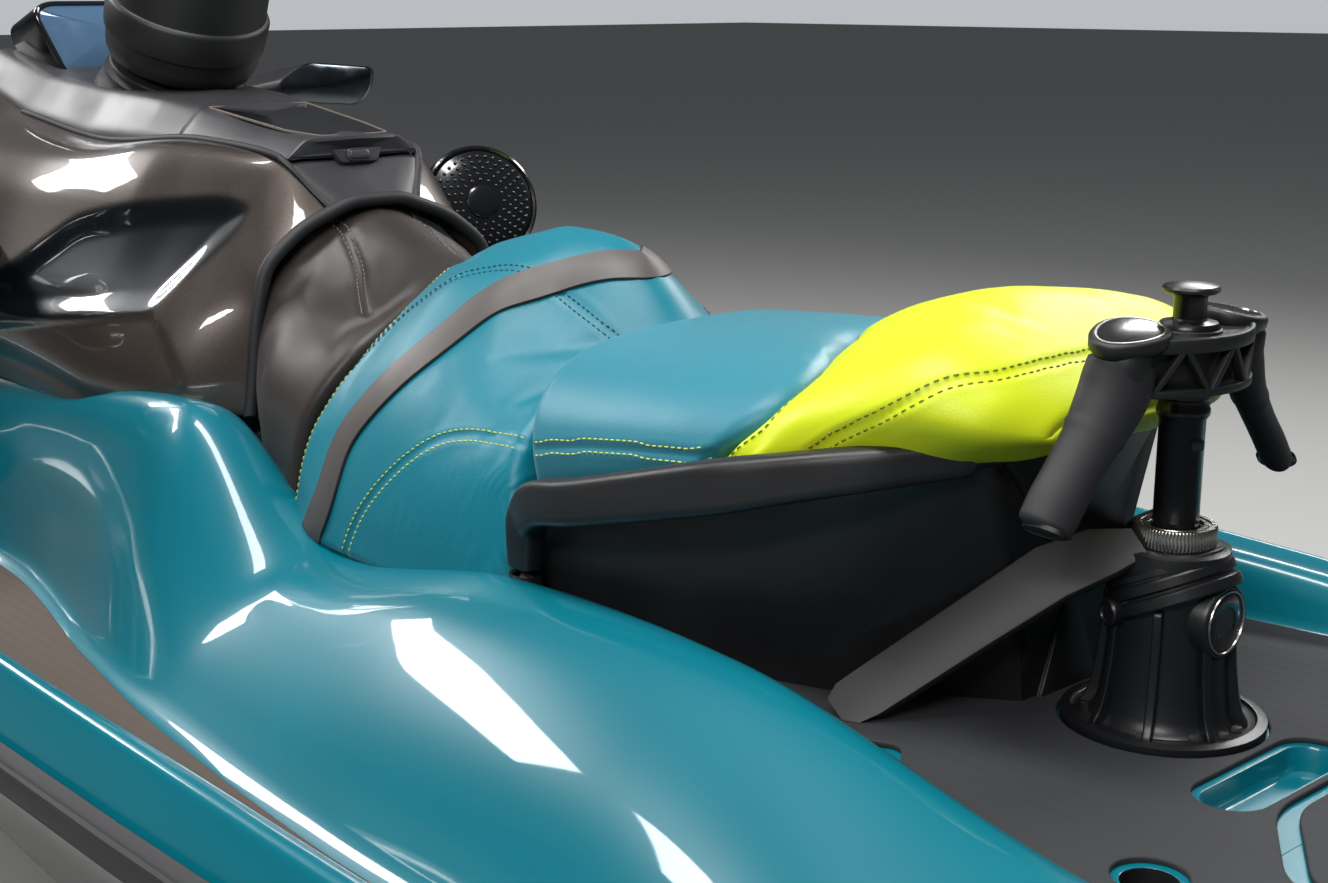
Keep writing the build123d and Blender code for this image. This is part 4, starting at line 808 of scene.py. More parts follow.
# %% Outlines of the seats
# x, then half outline: bottom centre, bottom edge, side, upper side, shoulder, crown's side, crown
DRIVER = [
    (-720, [(0, 230), (230, 232), (221, 298), (202, 360), (158, 392), (88, 414), (0, 440)]),
    (-694, [(0, 230), (232, 230), (222, 300), (204, 364), (158, 396), (88, 420), (0, 452)]),
    (-640, [(0, 212), (238, 212), (225, 300), (206, 366), (154, 400), (80, 430), (0, 502)]),
    (-600, [(0, 212), (239, 212), (226, 300), (205, 370), (150, 406), (78, 442), (0, 530)]),
    (-560, [(0, 212), (240, 212), (226, 300), (203, 376), (148, 416), (80, 458), (0, 540)]),
    (-510, [(0, 212), (240, 212), (225, 300), (199, 382), (150, 430), (90, 492), (0, 540)]),
    (-450, [(0, 212), (238, 212), (222, 300), (193, 382), (152, 432), (94, 490), (0, 526)]),
    (-400, [(0, 212), (236, 212), (217, 300), (186, 376), (148, 424), (88, 474), (0, 512)]),
    (-350, [(0, 212), (233, 212), (212, 300), (181, 368), (143, 410), (84, 448), (0, 488)]),
    (-290, [(0, 225), (216, 225), (208, 325), (180, 384), (142, 410), (82, 430), (0, 478)]),
    (-230, [(0, 240), (198, 240), (202, 345), (178, 398), (138, 422), (80, 436), (0, 498)]),
    (-190, [(0, 262), (184, 262), (184, 352), (164, 410), (132, 438), (80, 456), (0, 513)]),
    (-160, [(0, 280), (170, 285), (170, 360), (154, 422), (130, 452), (84, 482), (0, 523)]),
    (-130, [(0, 285), (160, 290), (160, 362), (146, 428), (126, 462), (90, 502), (0, 528)]),
]
PASSENGER = [
    (-990, [(0, 375), (186, 375), (204, 404), (190, 441), (148, 466), (80, 475), (0, 478)]),
    (-898, [(0, 360), (196, 360), (210, 398), (194, 436), (150, 462), (80, 472), (0, 475)]),
    (-800, [(0, 340), (200, 340), (212, 385), (196, 425), (150, 455), (80, 469), (0, 473)]),
    (-697, [(0, 320), (204, 320), (212, 370), (196, 412), (150, 445), (85, 462), (0, 467)]),
]
BOLSTER = [
    (-1184, [(0, 438), (60, 438), (110, 446), (105, 455), (85, 462), (50, 466), (0, 468)]),
    (-1140, [(0, 425), (105, 425), (165, 450), (155, 475), (125, 492), (70, 500), (0, 504)]),
    (-1072, [(0, 410), (160, 410), (190, 455), (178, 486), (145, 512), (80, 528), (0, 534)]),
    (-985, [(0, 385), (188, 385), (200, 440), (185, 470), (150, 492), (80, 510), (0, 515)]),
    (-898, [(0, 365), (190, 365), (208, 400), (193, 437), (150, 463), (80, 473), (0, 476)]),
]
# x of each sewn joint at the same seven places of the outline
KNEE_FRONT = [-126] * 7
KNEE_JOINT = [-300, -300, -312, -334, -342, -330, -300]
DRIVER_REAR = [-694, -694, -690, -678, -668, -676, -694]
PASSENGER_FRONT = [-697, -697, -693, -681, -671, -679, -697]
LIME_JOINT = [-900, -902, -926, -968, -972, -945, -888]
LIME_REAR = [-1184] * 7
SEAT_CORNERS = [0, 16, 60, 60, 60, 60, 0]


def cushion_grid(table, front, rear, row_mm=7.0, steps=9, by_share=False, corners=SEAT_CORNERS):
    """Rows from the front joint to the rear joint. At share t of the way, the outline's place k is
    read from the table at x = front[k] + t * (rear[k] - front[k]), or by share at t of the table's
    own length. Then its corners are rounded and it is mirrored into a closed loop."""
    first, last = table[0][0], table[-1][0]
    front, rear = np.array(front, float), np.array(rear, float)
    count = int(abs(rear - front).mean() / row_mm) + 1
    t = 0.5 - 0.5 * np.cos(np.pi * np.linspace(0, 1, count))
    t = 0.6 * t + 0.4 * np.linspace(0, 1, count)
    x = front + t[:, None] * (rear - front)
    read_at = np.broadcast_to((last + t * (first - last))[:, None], x.shape) if by_share else x
    line = np.concatenate([x[..., None], read_table(table, read_at)], -1)
    line = rounded(line, corners, steps)
    return np.concatenate([line, line[:, -2:0:-1] * (1, -1, 1)], 1)


def outward(grid):
    """Unit normals of a closed-loop grid: the cross product of its two directions."""
    round_it = np.roll(grid, -1, axis=1) - np.roll(grid, 1, axis=1)
    normal = unit(np.cross(round_it, np.gradient(grid, axis=0)), 1e-9)
    middle = grid.mean(axis=(0, 1))
    return normal * np.sign((normal * (grid - middle)).sum(-1).mean())


def pulled_ends(grid, radius):
    """Rounds both ends: at distance d from an end, points move in by R - sqrt(R^2 - (R - d)^2).
    Three more loops then close each end on its middle."""
    step = np.linalg.norm(np.diff(grid, axis=0), axis=-1)
    run = np.concatenate([np.zeros((1, grid.shape[1])), np.cumsum(step, axis=0)])
    d = np.minimum(run, run[-1] - run)
    lack = np.clip(radius - d, 0, radius)
    body = grid - outward(grid) * (radius - np.sqrt(radius ** 2 - lack ** 2))[..., None]
    caps = []
    for end in (body[0], body[-1]):
        middle = end.mean(axis=0)
        caps.append([middle + (end - middle) * share for share in (0.82, 0.5, 0.0)])
    return np.concatenate([caps[0][::-1], body, caps[1]])


CLOTH_FRAMES = 20
JOINT_GAP = 1.5


def inflate(piece, held, pressure=4.0, cap_mm=7.0):
    """Blows a cushion up with Blender's Cloth. held is the share, from 0 to 1, to which each point is
    pinned. Gravity is off, a point moves by the cap at most, and the result is put into the mesh."""
    group = piece.vertex_groups.new(name="held")
    for level in (0.25, 0.5, 0.75, 1.0):
        group.add(np.flatnonzero(np.isclose(np.ceil(held * 4) / 4, level)).tolist(), level, "REPLACE")
    cloth = piece.modifiers.new("foam", "CLOTH")
    cloth.settings.use_pressure = True
    cloth.settings.uniform_pressure_force = pressure
    cloth.settings.effector_weights.gravity = 0
    cloth.settings.vertex_group_mass = "held"
    cloth.settings.quality = 4
    cloth.point_cache.frame_start, cloth.point_cache.frame_end = 1, CLOTH_FRAMES
    for frame_number in range(1, CLOTH_FRAMES + 1):
        bpy.context.scene.frame_set(frame_number)
    solved = piece.evaluated_get(bpy.context.evaluated_depsgraph_get()).data
    before, after = coordinates(piece.data), coordinates(solved)
    move = after - before
    length = np.linalg.norm(move, axis=1, keepdims=True) + 1e-12
    move *= np.minimum(1, cap_mm * MM / length)
    piece.modifiers.clear()
    bpy.context.scene.frame_set(1)
    place(piece.data, before + move)


def vectors_of(items, name):
    """One vector of each point or face of a mesh, as rows of an array."""
    values = np.empty(len(items) * 3, np.float32)
    items.foreach_get(name, values)
    return values.reshape(-1, 3)


def coordinates(mesh):
    return vectors_of(mesh.vertices, "co").astype(float)


def normals(mesh):
    return vectors_of(mesh.vertices, "normal").astype(float)


def place(mesh, points):
    mesh.vertices.foreach_set("co", np.asarray(points, np.float32).ravel())
    mesh.update()


def applied(holder):
    """A new mesh of an object as its modifiers or its curve make it."""
    depsgraph = bpy.context.evaluated_depsgraph_get()
    return bpy.data.meshes.new_from_object(holder.evaluated_get(depsgraph), depsgraph=depsgraph)


def subdivided(piece):
    """Puts a subdivision surface into the mesh, so that seams can be pressed in finely."""
    smooth = piece.modifiers.new("smooth", "SUBSURF")
    smooth.levels = smooth.render_levels = 1
    mesh = applied(piece)
    piece.modifiers.clear()
    piece.data = mesh


def make_cushion(name, table, front, rear, finish, node, end_mm, by_share=False):
    """A cushion between two joints. Its low edge and its ends stay held while it is blown up."""
    grid = pulled_ends(cushion_grid(table, front, rear, by_share=by_share), end_mm)
    piece = closed_skin(name, grid, finish, 180, stands_for=[node])
    points = coordinates(piece.data) / MM
    x, z = points[:, 0], points[:, 2]
    ends = np.minimum(abs(x - x.max()), abs(x - x.min()))
    low = np.clip((z.min() + 40 - z) / 30, 0, 1)
    inflate(piece, np.maximum(low, np.clip(1.3 - ends / 26, 0, 1)))
    subdivided(piece)
    return piece


def moved(joint, by):
    """A sewn joint moved along the craft."""
    return [x + by for x in joint]


knee_pad = make_cushion("knee_cushion", DRIVER, KNEE_FRONT, moved(KNEE_JOINT, JOINT_GAP), "taupe_vinyl",
                        "knee_pad", 12)
driver_seat = make_cushion("driver_cushion", DRIVER, moved(KNEE_JOINT, -JOINT_GAP), DRIVER_REAR,
                           "teal_vinyl", "driver_seat", 16)
passenger_seat = make_cushion("passenger_cushion", PASSENGER, PASSENGER_FRONT,
                              moved(LIME_JOINT, JOINT_GAP), "blue_vinyl", "passenger_seat", 20)
bolster = make_cushion("bolster_cushion", BOLSTER, moved(LIME_JOINT, -JOINT_GAP), LIME_REAR,
                       "lime_vinyl", "seat_bolster", 14, by_share=True)
for cushion in (knee_pad, driver_seat, passenger_seat, bolster):
    print(cushion.name, "faces:", len(cushion.data.polygons))

# %% [markdown]
# ## Seams, stitches and piping
# A sewn joint is a groove where two panels meet, with a row of stitches beside it. A path is first
# laid on the finished cushion. Then the cushion's points near it are pressed in, and one small
# stitch is repeated along it. All the stitches of a seam are one mesh, made as one array.

# %% Paths on a surface
def tree_of(*pieces):
    """One search tree over the faces of several pieces."""
    points, faces, count = [], [], 0
    for piece in pieces:
        points.append(coordinates(piece.data))
        faces += [[count + v for v in polygon.vertices] for polygon in piece.data.polygons]
        count += len(points[-1])
    return BVHTree.FromPolygons(np.concatenate(points).tolist(), faces)


def spread(points, step):
    """Points every step along a smooth curve through the given ones. The curve is monotone between
    them in each coordinate, over the length run so far."""
    points = np.asarray(points, float)
    run = run_along(points)
    fine = through(run, points, np.linspace(0, run[-1], 400))
    length = run_along(fine)
    at = np.linspace(0, length[-1], max(2, int(length[-1] / step) + 1))
    return np.stack([np.interp(at, length, fine[:, i]) for i in range(3)], -1)


def lay(tree, guide, step=4.0):
    """Lays a path, in mm, on a surface: each point goes to the nearest one there. Gives the points
    and the surface's normals at them."""
    found = [tree.find_nearest(Vector(p * MM)) for p in spread(guide, step)]
    on = np.array([hit[0][:] for hit in found]) / MM
    normal = np.array([hit[1][:] for hit in found])
    return smoothed(on, 2), unit(smoothed(normal, 3))


def smoothed(values, times):
    """Each inner value becomes half itself and a quarter of each neighbour, several times."""
    for _ in range(times):
        values[1:-1] = 0.5 * values[1:-1] + 0.25 * (values[:-2] + values[2:])
    return values


def beside(path, normal, by):
    """The path moved sideways on its surface, to the left of its direction."""
    return path + np.cross(normal, directions(path, 1e-9)) * by


def groove(piece, path, depth, width, raise_beside=0.0):
    """Presses a seam into a piece: a point at distance d moves in by depth * exp(-(d / width)^2),
    and the panels beside it puff out a little."""
    points = coordinates(piece.data) / MM
    near = np.full(len(points), 1e9)
    low, high = path.min(0) - 4 * width, path.max(0) + 4 * width
    inside = np.flatnonzero(((points > low) & (points < high)).all(1))
    for a, b in zip(path[:-1], path[1:]):
        line = b - a
        t = np.clip(((points[inside] - a) @ line) / (line @ line + 1e-9), 0, 1)
        near[inside] = np.minimum(near[inside],
                                  np.linalg.norm(points[inside] - a - t[:, None] * line, axis=1))
    press = depth * np.exp(-(near / width) ** 2)
    puff = raise_beside * np.exp(-((near - 2.2 * width) / width) ** 2)
    place(piece.data, (points - normals(piece.data) * (press - puff)[:, None]) * MM)


def tube(name, path, normal, radius, finish, sides=8, flat=1.0, **dressing):
    """A round or flattened cord along a path: a ring in the plane of the normal and the sideways
    direction at each point, closed at both ends."""
    normal = np.broadcast_to(normal, path.shape)
    aside = unit(np.cross(normal, directions(path, 1e-9)), 1e-9)
    turn = turns(sides)[:, None]
    ring = aside[:, None] * np.cos(turn) * radius + normal[:, None] * np.sin(turn) * radius * flat
    middle = path[:, None]
    grid = np.concatenate([middle[:1] + 0 * ring[:1], middle + ring, middle[-1:] + 0 * ring[-1:]])
    return closed_skin(name, grid, finish, 50, **dressing)


STITCH_LONG = 5.2
STITCH_GAP = 2.2
THREAD_R = 0.75
# share of the length, height over the seat in mm, share of the thread's radius
STITCH_SHAPE = np.array([(0.0, -0.7, 0.5), (0.2, 0.35, 1.0), (0.5, 0.6, 1.0), (0.8, 0.35, 1.0),
                         (1.0, -0.7, 0.5)])


def repeated(name, grids, sharp_deg):
    """One piece from many small grids of one size, each closed around."""
    count, rows, columns = grids.shape[:3]
    faces = grid_faces(rows, columns, closed_columns=True)
    faces = (faces + (np.arange(count) * rows * columns)[:, None, None]).reshape(-1, 4)
    return mesh_object(name, grids.reshape(-1, 3) * MM, faces, sharp_deg)


def stitches(name, tree, guide, finish, like, sideways=0.0):
    """A row of stitches beside a guide on a surface: a short thread with sunk ends, at each place."""
    path, normal = lay(tree, guide)
    if sideways:
        path, normal = lay(tree, beside(path, normal, sideways))
    run = run_along(path)
    at = np.arange(STITCH_GAP, run[-1] - STITCH_LONG, STITCH_LONG + STITCH_GAP)
    share, rise, size = STITCH_SHAPE.T
    s = at[:, None] + share * STITCH_LONG
    centre, up = (np.stack([np.interp(s, run, values[:, i]) for i in range(3)],
                           -1) for values in (path, normal))
    forward = (centre[:, -1] - centre[:, 0])[:, None] / STITCH_LONG
    side = np.cross(up, forward)
    turn = turns(6)[:, None]
    ring = side[:, :, None] * np.cos(turn) + up[:, :, None] * np.sin(turn)
    grid = (centre + up * rise[:, None])[:, :, None] + ring * (size * THREAD_R)[:, None, None]
    return dressed(repeated(name, grid, 180), finish, like=like)


def stitch_rows(name, tree, pairs, by, finish, like):
    """A row of stitches on both sides of the seams, given as pairs of a name and a guide. by says
    what each row is called and how far aside it lies."""
    for side, guide in pairs:
        for row, aside in by.items():
            stitches(f"thread_{name}_{row}_{side}", tree, guide, finish, like, aside)


def pressed(piece, pairs, deep, wide, puff):
    """Presses seams into a piece along their guides, which are laid on it first. Gives the paths
    with their names."""
    tree = tree_of(piece)
    laid = [(side, lay(tree, guide)[0]) for side, guide in pairs]
    for _, path in laid:
        groove(piece, path, deep, wide, puff)
    return laid


print("seam helpers ready")

# %% Seams of the driver's seat
def mirrored_path(points):
    """A path from the port side over the top to starboard, from its port half that ends at the middle."""
    points = np.asarray(points, float)
    other = points[::-1] * (1, -1, 1)
    return np.concatenate([points, other[1:] if abs(points[-1, 1]) < 1 else other])


# each seam's points on the port side, in mm
HUMP_SEAM = [(-335, 175, 374), (-352, 150, 402), (-368, 122, 430), (-410, 106, 460), (-460, 88, 484),
             (-512, 76, 492), (-545, 68, 484), (-580, 64, 468), (-625, 64, 450), (-660, 62, 436)]

SIDE_SEAM = [(-431, 233, 216), (-450, 231, 253), (-485, 224, 295), (-531, 215, 335), (-568, 207, 357),
             (-608, 201, 366), (-675, 196, 370)]
PASSENGER_SEAM = [(-704, 211, 372), (-777, 210, 387), (-867, 209, 399), (-924, 206, 405)]
BOLSTER_ARC = [(-1020, 190, 424), (-1045, 189, 441), (-1072, 186, 456), (-1100, 174, 472),
               (-1121, 152, 484), (-1141, 124, 489), (-1150, 80, 497), (-1154, 0, 500)]
KNEE_SEAM = [(-142, 52, 516), (-161, 52, 500), (-181, 55, 483), (-212, 64, 460), (-252, 86, 436),
             (-293, 108, 422)]
SEAM_DEEP = 1.5
SEAM_WIDE = 3.2
SEAM_STEPS = 9


def joint_line(table, joint, back):
    """A sewn joint's own line, moved back along the craft: the outline's places at the joint's x."""
    x = np.array(joint, float) - back
    return seam_across(x, read_table(table, x[None])[0])


def seam_across(x, yz):
    """A line from port to starboard through the places of an outline, without the one underneath."""
    line = rounded(np.concatenate([x[:, None], yz], 1), SEAT_CORNERS, SEAM_STEPS)
    return mirrored_path(line[SEAM_STEPS:])


def both_sides(guide):
    """The seam on the port side and the same one to starboard."""
    guide = np.asarray(guide, float)
    return (("port", guide), ("starboard", guide * (1, -1, 1)))


laid = pressed(driver_seat, both_sides(HUMP_SEAM) + both_sides(SIDE_SEAM), SEAM_DEEP, SEAM_WIDE, 0.5)
hump_laid, side_laid = laid[:2], laid[2:]
print("seams pressed into the driver's seat:", len(laid))

# %% [markdown]
# ## Pleats
# Below the double seam the vinyl is gathered, and its pleats run up towards the joint with the
# passenger's seat. A pleat is a long ripple whose height grows towards the gathered edge. Ripples by
# displacement are steadier here than a simulation, which would need a far finer mesh.

# %% Gathered side panel
PLEAT_MM = 8.5
PLEAT_HIGH = 1.5
PLEAT_FOCUS = (-600.0, 640.0)


def pleat(piece, seam):
    """Ripples under the seam. The ripple's phase is the angle about a focus above the seat, over the
    pleat's angle, and slow waves bend it. Its height fades in below the seam and grows aft."""
    points = coordinates(piece.data) / MM
    x, y, z = points.T
    seam_z = np.interp(-x, -seam[:, 0], seam[:, 2])
    below = seam_z - 9 - z
    aft = np.clip((-470 - x) / 200, 0, 1)
    away = np.hypot(x - PLEAT_FOCUS[0], z - PLEAT_FOCUS[1])
    angle = np.arctan2(x - PLEAT_FOCUS[0], PLEAT_FOCUS[1] - z)
    bend = 0.05 * np.sin(z / 31 + x / 57) + 0.035 * np.sin(z / 13 - x / 29 + 1.3)
    wave = np.sin(2 * np.pi * (angle * 300 / PLEAT_MM + 5 * bend * away / 60))
    fine = 0.5 * np.sin(2 * np.pi * (angle * 300 / PLEAT_MM * 1.7 + 3 * bend * away / 40 + 0.3))
    patch = 0.6 + 0.4 * np.sin(x / 23 + z / 41) * np.sin(z / 17 - x / 60)
    height = PLEAT_HIGH * np.clip(below / 25, 0,
                                  1) * (0.25 + 0.75 * aft) * (x < -445) * (abs(y) > 150) * patch
    place(piece.data, (points + normals(piece.data) * (height * (wave + fine) * 0.5)[:, None]) * MM)


pleat(driver_seat, side_laid[0][1])

# %% Stitches of the driver's seat and the knee pad
driver_tree = tree_of(driver_seat)
stitches("thread_knee_joint", driver_tree, joint_line(DRIVER, KNEE_JOINT, 9), "thread_lime", "driver_seat")
stitch_rows("hump", driver_tree, hump_laid, {"near": 4.5, "far": -4.5}, "thread_dark", "driver_seat")
stitch_rows("side", driver_tree, side_laid, {"upper": 6, "lower": -6}, "thread_lime", "driver_seat")
knee_seams = both_sides(KNEE_SEAM)
pressed(knee_pad, knee_seams, 3.0, 4.5, 1.0)
stitch_rows("knee", tree_of(knee_pad), knee_seams, {"near": 5.5, "far": -5.5}, "thread_taupe", "knee_pad")
print("driver's seams done")

# %% Seams of the passenger's seat and the bolster
passenger_seams = both_sides(PASSENGER_SEAM)
pressed(passenger_seat, passenger_seams, SEAM_DEEP, SEAM_WIDE, 0.4)
stitch_rows("passenger", tree_of(passenger_seat), passenger_seams, {"upper": 6, "lower": -6}, "thread_lime",
            "passenger_seat")
arc_path = pressed(bolster, [("arc", mirrored_path(BOLSTER_ARC))], 1.8, 3.4, 0.6)[0][1]
bolster_tree = tree_of(bolster)
for row, by in (("inner", 5), ("outer", -5)):
    stitches(f"thread_bolster_arc_{row}", bolster_tree, arc_path, "thread_olive", "seat_bolster", by)
xs, half = table_of(BOLSTER)
share = 9.0 / 240
at = through(xs, half, [xs[-1] + share * (xs[0] - xs[-1])])[0]
front_line = seam_across(np.array(LIME_JOINT) - 11.0, at)
stitches("thread_bolster_front", bolster_tree, front_line, "thread_olive", "seat_bolster")

# %% [markdown]
# ## The strap
# A flat webbing strap crosses the driver's seat. Cloth is not simulated here, because a strap this
# taut simply lies on the cushion: its middle line is laid on the seat and both edges follow it. The
# edges are bound in black, so the strap has a dark line below it.

# %% Strap over the seat
STRAP_GUIDE = [(-362, 232, 220), (-387, 223, 268), (-399, 208, 322), (-443, 190, 380), (-490, 153, 430),
               (-516, 114, 463), (-540, 78, 480), (-572, 46, 494), (-606, 22, 503), (-628, 0, 505)]
STRAP_WIDE = 36.0
STRAP_THICK = 2.6


def make_strap():
    """A band across the path: seven points from edge to edge, each dropped onto the seat and lifted
    by the strap's thickness, with its edges turned down."""
    seat_tree = tree_of(driver_seat, knee_pad)
    path, normal = lay(seat_tree, mirrored_path(STRAP_GUIDE), 6.0)
    normal = smoothed(normal, 6)
    aside = np.cross(normal, directions(path))
    offsets = np.array([-1, -0.98, -0.5, 0, 0.5, 0.98, 1]) * STRAP_WIDE / 2
    lifts = np.array([0.2, 1, 1.15, 1.2, 1.15, 1, 0.2]) * STRAP_THICK
    wanted = path[:, None] + aside[:, None] * offsets[:, None]
    found = [seat_tree.find_nearest(Vector(p * MM)) for p in wanted.reshape(-1, 3)]
    on = np.array([hit[0][:] for hit in found]).reshape(wanted.shape) / MM
    on = smoothed(on, 5)
    strap = surface("strap_band", on + normal[:, None] * lifts[:, None], sharp_deg=60)
    wall = strap.modifiers.new("thickness", "SOLIDIFY")
    wall.thickness, wall.offset = 1.2 * MM, -1
    dressed(strap, "strap", stands_for=["seat_strap"])
    for name, edge in (("fore", 0), ("aft", -1)):
        tube(f"strap_binding_{name}", on[:, edge] + normal * 1.6, normal, 1.5, "rubber", 6,
             like="seat_strap")


make_strap()
print("strap laid")

# %% [markdown]
# ## The platform and its mat
# The rear platform wears a hot-pressed foam mat, cut out round a hand slot, two anchor cups, two
# small pockets and a hatch. A flat piece with holes is quickest as a filled 2-D curve: each outline
# is one closed line, and the curve's own bevel rounds every edge. It is turned into a mesh at once.

# %% Flat pieces with holes
def plate(name, loops, z0, z1, edge, finish, **dressing):
    """A flat piece between two heights, from closed outlines in mm. The first one is its outside and
    the others are holes. The edges are rounded by the given radius."""
    curve = bpy.data.curves.new(name, "CURVE")
    curve.dimensions = "2D"
    curve.fill_mode = "BOTH"
    curve.extrude = max((z1 - z0) / 2 - edge, 0.05) * MM
    curve.bevel_depth = edge * MM
    curve.bevel_resolution = 2
    curve.offset = -edge * MM
    for loop in loops:
        spline = curve.splines.new("POLY")
        spline.points.add(len(loop) - 1)
        flat = np.zeros((len(loop), 4), np.float32)
        flat[:, :2] = np.asarray(loop) * MM
        flat[:, 3] = 1
        spline.points.foreach_set("co", flat.ravel())
        spline.use_cyclic_u = True
    holder = linked(name + "_line", curve)
    mesh = applied(holder)
    bpy.data.objects.remove(holder)
    mesh.name = name
    mesh.materials.clear()
    points = coordinates(mesh)
    points[:, 2] += (z0 + z1) / 2 * MM
    place(mesh, points)
    shade(mesh, 35)
    return dressed(linked(name, mesh), finish, **dressing)


def ring_of(centre, radius, count=40):
    """A circle of points about a centre."""
    turn = turns(count)
    return np.array(centre) + radius * np.stack([np.cos(turn), np.sin(turn)], -1)


def slot_of(centre, length, width, count=16):
    """A slot that lies across the craft: two half circles joined by straight sides."""
    turn = np.linspace(-np.pi / 2, np.pi / 2, count)
    arc = np.stack([np.sin(turn), np.cos(turn)], -1) * width / 2
    reach = np.array([0, (length - width) / 2])
    return np.array(centre) + np.concatenate([arc + reach, -arc - reach])


print("plate helpers ready")

# %% Outlines on the platform
PLATFORM_Z = 220.0
BED_Z = 215.0
SLOT_AT = (-1327.0, 32.0)
SLOT_LONG, SLOT_WIDE = 150.0, 42.0
ANCHOR_AT = (-1358.0, 231.0)
ANCHOR_R = 19.0
POCKET = [(-1118, 190), (-1150, 232), (-1086, 236), (-1070, 214)]
HATCH = [(-1360, 86), (-1360, -86), (-1422, -178), (-1600, -184), (-1600, 184), (-1422, 178)]
HATCH_GAP = 11.0
MAT_EDGE = 5.0
DISC_R = 77.0
PYLON_X = -1215.0


def mirrored_loop(loop):
    return loop[::-1] * (1, -1)


anchors = [np.array(ANCHOR_AT), np.array(ANCHOR_AT) * (1, -1)]
pocket = soft_loop(POCKET, 12)
pockets = [pocket, mirrored_loop(pocket)]
hatch = soft_loop(HATCH, 26)
inner_hatch = soft_loop([(x - HATCH_GAP if x > -1500 else x + HATCH_GAP, y - math.copysign(HATCH_GAP, y))
                         for x, y in HATCH], 20)


def mat_outline():
    """The mat's edge: inside the platform's crest by a small gap, round at the stern's corners."""
    x = stations(-1688, -704, 30)
    port = np.stack([x, through(STATIONS, DECK[:, 1, 0], x) - MAT_EDGE], -1)
    loop = np.concatenate([port, mirrored_loop(port)])
    reach = np.where((loop[:, 0] < -1686) | (loop[:, 0] > -706), 14, 2)
    return rounded(loop, reach, 5, closed=True)


def make_platform():
    holes = [slot_of(SLOT_AT, SLOT_LONG + 12, SLOT_WIDE + 12)]
    holes += [ring_of(at, ANCHOR_R + 6) for at in anchors] + pockets
    plate("platform_mat_foam", [mat_outline(), *holes, hatch, ring_of((PYLON_X, 0), DISC_R + 2, 64)],
          BED_Z, PLATFORM_Z, 1.4, "foam_black", stands_for=["platform_mat"])
    plate("hatch_mat", [inner_hatch], BED_Z, PLATFORM_Z, 1.4, "foam_black", like="platform_mat")
    bed_holes = [slot_of(SLOT_AT, SLOT_LONG, SLOT_WIDE)] + [ring_of(at, ANCHOR_R) for at in anchors]
    plate("platform_bed", [frame_of(*CUPS), *bed_holes], BED_Z - 3, BED_Z + 0.4, 0.4, "teal", like="deck")


def make_cup(name, loop, deep, finish, draft=0.9):
    """A recess: its rim's outline carried down and in a little, a round foot, and a flat floor."""
    centre = loop.mean(0)
    shares = [(1.0, 0.0), (0.985, 0.08), (0.955, 0.6), (0.93, 0.86), (draft * 0.96, 0.97),
              (draft * 0.88, 1.0), (0.0, 1.0)]
    grid = np.array([np.insert(centre + (loop - centre) * share, 2, BED_Z - deep * down, axis=1)
                     for share, down in shares])
    piece = surface(name, grid, sharp_deg=40, closed_columns=True, flip=True)
    return dressed(piece, finish, like="deck")


make_platform()
make_cup("hand_slot_cup", slot_of(SLOT_AT, SLOT_LONG, SLOT_WIDE), 21, "teal")
for side, at in zip(("port", "starboard"), anchors):
    make_cup(f"anchor_cup_{side}", ring_of(at, ANCHOR_R), 25, "satin")
print("platform done")

# %% Mats in the footwells
def make_well_mat(side):
    """A foam mat on each footwell's floor, which lies between the flank's foot and the gunwale."""
    x = stations(-1010, 590, 24)
    lines = through(STATIONS, DECK, x)
    foot, edge = lines[:, 5], lines[:, 6]
    inner, outer = foot + (edge - foot) * 0.1, foot + (edge - foot) * 0.94
    up = np.array([0, 5.0])
    half = rounded(np.stack([inner, inner + up, outer + up, outer], 1), 2.5, 4)
    piece = surface(f"well_mat_{SIDES[side]}", at_x(x, half) * (1, side, 1), sharp_deg=60)
    fix_up(piece)
    dressed(piece, "foam_taupe", **of_pair("footwell_mats", side))


def fix_up(piece):
    """Turns an open sheet so that most of it faces up."""
    if vectors_of(piece.data.polygons, "normal")[:, 2].mean() < 0:
        piece.data.flip_normals()


for side in SIDES:
    make_well_mat(side)
print("well mats:", *SIDES.values())

# %% [markdown]
# ## Shroud and grab rails
# Under the passengers a satin black moulding carries the seat, and a grab rail runs along each side.
# The rail is a bar whose section changes along its way, with a leg that comes down in front, so a
# rounded rectangle is carried along a curve and sized at each of its points.

# %% Seat shroud
SHROUD = [
    (-1130, [(0, 200), (50, 200), (60, 300), (110, 432), (0, 432)]),
    (-1090, [(0, 200), (75, 200), (105, 300), (150, 420), (0, 420)]),
    (-1000, [(0, 200), (150, 200), (165, 300), (175, 392), (0, 392)]),
    (-850, [(0, 200), (190, 200), (196, 300), (185, 360), (0, 360)]),
    (-690, [(0, 200), (190, 200), (208, 300), (190, 335), (0, 335)]),
]
shroud_grid = pulled_ends(cushion_grid(SHROUD, [-692] * 5, [-1130] * 5, 12, 8, corners=[0, 10, 60, 18, 0]),
                          10)
closed_skin("seat_shroud_skin", shroud_grid, "satin", 50, stands_for=["seat_shroud"])
print("shroud outlines:", len(SHROUD))

# %% Grab rails
# x, y, z down the rail's middle, then how wide and how high it is there
GRAB = np.array([
    (-712, 218, 206, 20, 26), (-706, 221, 262, 22, 30), (-712, 224, 306, 26, 36), (-742, 232, 334, 30, 40),
    (-800, 240, 349, 30, 40), (-880, 241, 371, 30, 41), (-955, 236, 392, 30, 42), (-1010, 216, 406, 29, 38),
    (-1060, 190, 418, 28, 34), (-1092, 156, 424, 26, 31), (-1120, 118, 428, 24, 28)], float)
BAR_CORNER = 0.34


